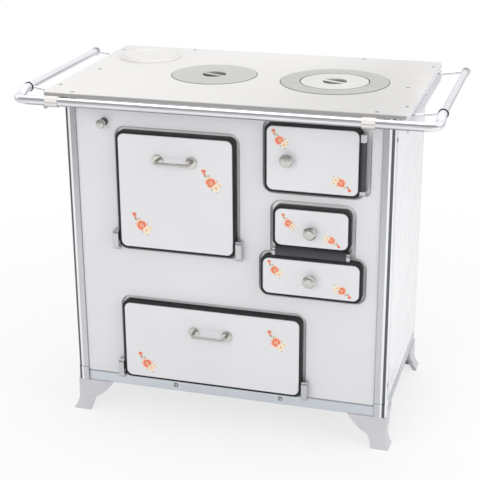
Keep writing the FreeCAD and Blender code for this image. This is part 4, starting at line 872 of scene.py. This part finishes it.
# Diffuse light, what camera and transmission rays see, and what glossy rays see.
soft = background((0.985, 0.985, 1.0, 1), 0.62)
seen = background((1, 1, 1, 1), 1.0)
gloss = background((1, 1, 1, 1), 1.0)
wt.links.new(heaven.outputs["Color"], gloss.inputs["Color"])
path = wnode("ShaderNodeLightPath")
first = wnode("ShaderNodeMixShader")
second = wnode("ShaderNodeMixShader")
either = wnode("ShaderNodeMath")
either.operation = "MAXIMUM"
wt.links.new(path.outputs["Is Camera Ray"], either.inputs[0])
wt.links.new(path.outputs["Is Transmission Ray"], either.inputs[1])
wt.links.new(path.outputs["Is Glossy Ray"], first.inputs[0])
wt.links.new(soft.outputs[0], first.inputs[1])
wt.links.new(gloss.outputs[0], first.inputs[2])
wt.links.new(either.outputs[0], second.inputs[0])
wt.links.new(first.outputs[0], second.inputs[1])
wt.links.new(seen.outputs[0], second.inputs[2])
sink = wnode("ShaderNodeOutputWorld")
wt.links.new(second.outputs[0], sink.inputs["Surface"])


def lamp(name, place, target, size, watts, glossy=True):
    data = bpy.data.lights.new(name, "AREA")
    data.shape = "RECTANGLE"
    data.size, data.size_y = size
    data.energy = watts
    obj = bpy.data.objects.new(name, data)
    scene.collection.objects.link(obj)
    obj.location = place
    obj.rotation_mode = "QUATERNION"
    obj.rotation_quaternion = (Vector(target) - Vector(place)).to_track_quat("-Z", "Y")
    obj.visible_camera = False
    obj.visible_glossy = glossy


lamp("front_lamp", (-0.9, -3.4, 1.9), (0, 0, 0.45), (2.6, 2.0), 34, glossy=False)
lamp("right_lamp", (3.2, -0.8, 1.6), (0, 0, 0.5), (2.2, 2.2), 38, glossy=False)
lamp("top_lamp", (-0.2, 0.4, 3.4), (0, 0, 0.8), (3.0, 2.4), 30)

FLOOR_HALF = 20.0
# The floor turns into plain white between these distances, from one share to the other. Only
# camera and transmission rays see that white.
FADE_FROM, FADE_TO, FADE_LOW, FADE_HIGH = 0.5, 1.7, 0.72, 1.0
floor_mesh = bpy.data.meshes.new("floor")
floor_bm = bmesh.new()
floor_bm.faces.new([floor_bm.verts.new(p) for p in
                    ((-FLOOR_HALF, -FLOOR_HALF, 0), (FLOOR_HALF, -FLOOR_HALF, 0),
                     (FLOOR_HALF, FLOOR_HALF, 0), (-FLOOR_HALF, FLOOR_HALF, 0))])
floor_bm.to_mesh(floor_mesh)
floor_bm.free()
floor = bpy.data.objects.new("floor", floor_mesh)
scene.collection.objects.link(floor)
pale = bpy.data.materials.new("floor")
pale.use_nodes = True
ft = pale.node_tree
matt = ft.nodes["Principled BSDF"]
matt.inputs["Roughness"].default_value = 0.9
matt.inputs["Specular IOR Level"].default_value = 0.0
matt.inputs["Base Color"].default_value = (0.93, 0.93, 0.935, 1)
glow = ft.nodes.new("ShaderNodeEmission")
glow.inputs["Strength"].default_value = 1.0
spread = ft.nodes.new("ShaderNodeTexCoord")
length = ft.nodes.new("ShaderNodeVectorMath")
length.operation = "LENGTH"
ft.links.new(spread.outputs["Object"], length.inputs[0])
fade = ft.nodes.new("ShaderNodeMapRange")
for i, v in enumerate((FADE_FROM, FADE_TO, FADE_LOW, FADE_HIGH), 1):
    fade.inputs[i].default_value = v
ft.links.new(length.outputs["Value"], fade.inputs[0])
rays = ft.nodes.new("ShaderNodeLightPath")
seen_by = ft.nodes.new("ShaderNodeMath")
seen_by.operation = "MAXIMUM"
ft.links.new(rays.outputs["Is Camera Ray"], seen_by.inputs[0])
ft.links.new(rays.outputs["Is Transmission Ray"], seen_by.inputs[1])
share = ft.nodes.new("ShaderNodeMath")
share.operation = "MULTIPLY"
ft.links.new(fade.outputs[0], share.inputs[0])
ft.links.new(seen_by.outputs[0], share.inputs[1])
blend = ft.nodes.new("ShaderNodeMixShader")
ft.links.new(share.outputs[0], blend.inputs[0])
ft.links.new(matt.outputs[0], blend.inputs[1])
ft.links.new(glow.outputs[0], blend.inputs[2])
ft.links.new(blend.outputs[0], ft.nodes["Material Output"].inputs["Surface"])
floor_mesh.materials.append(pale)

scene.view_settings.view_transform = "Standard"
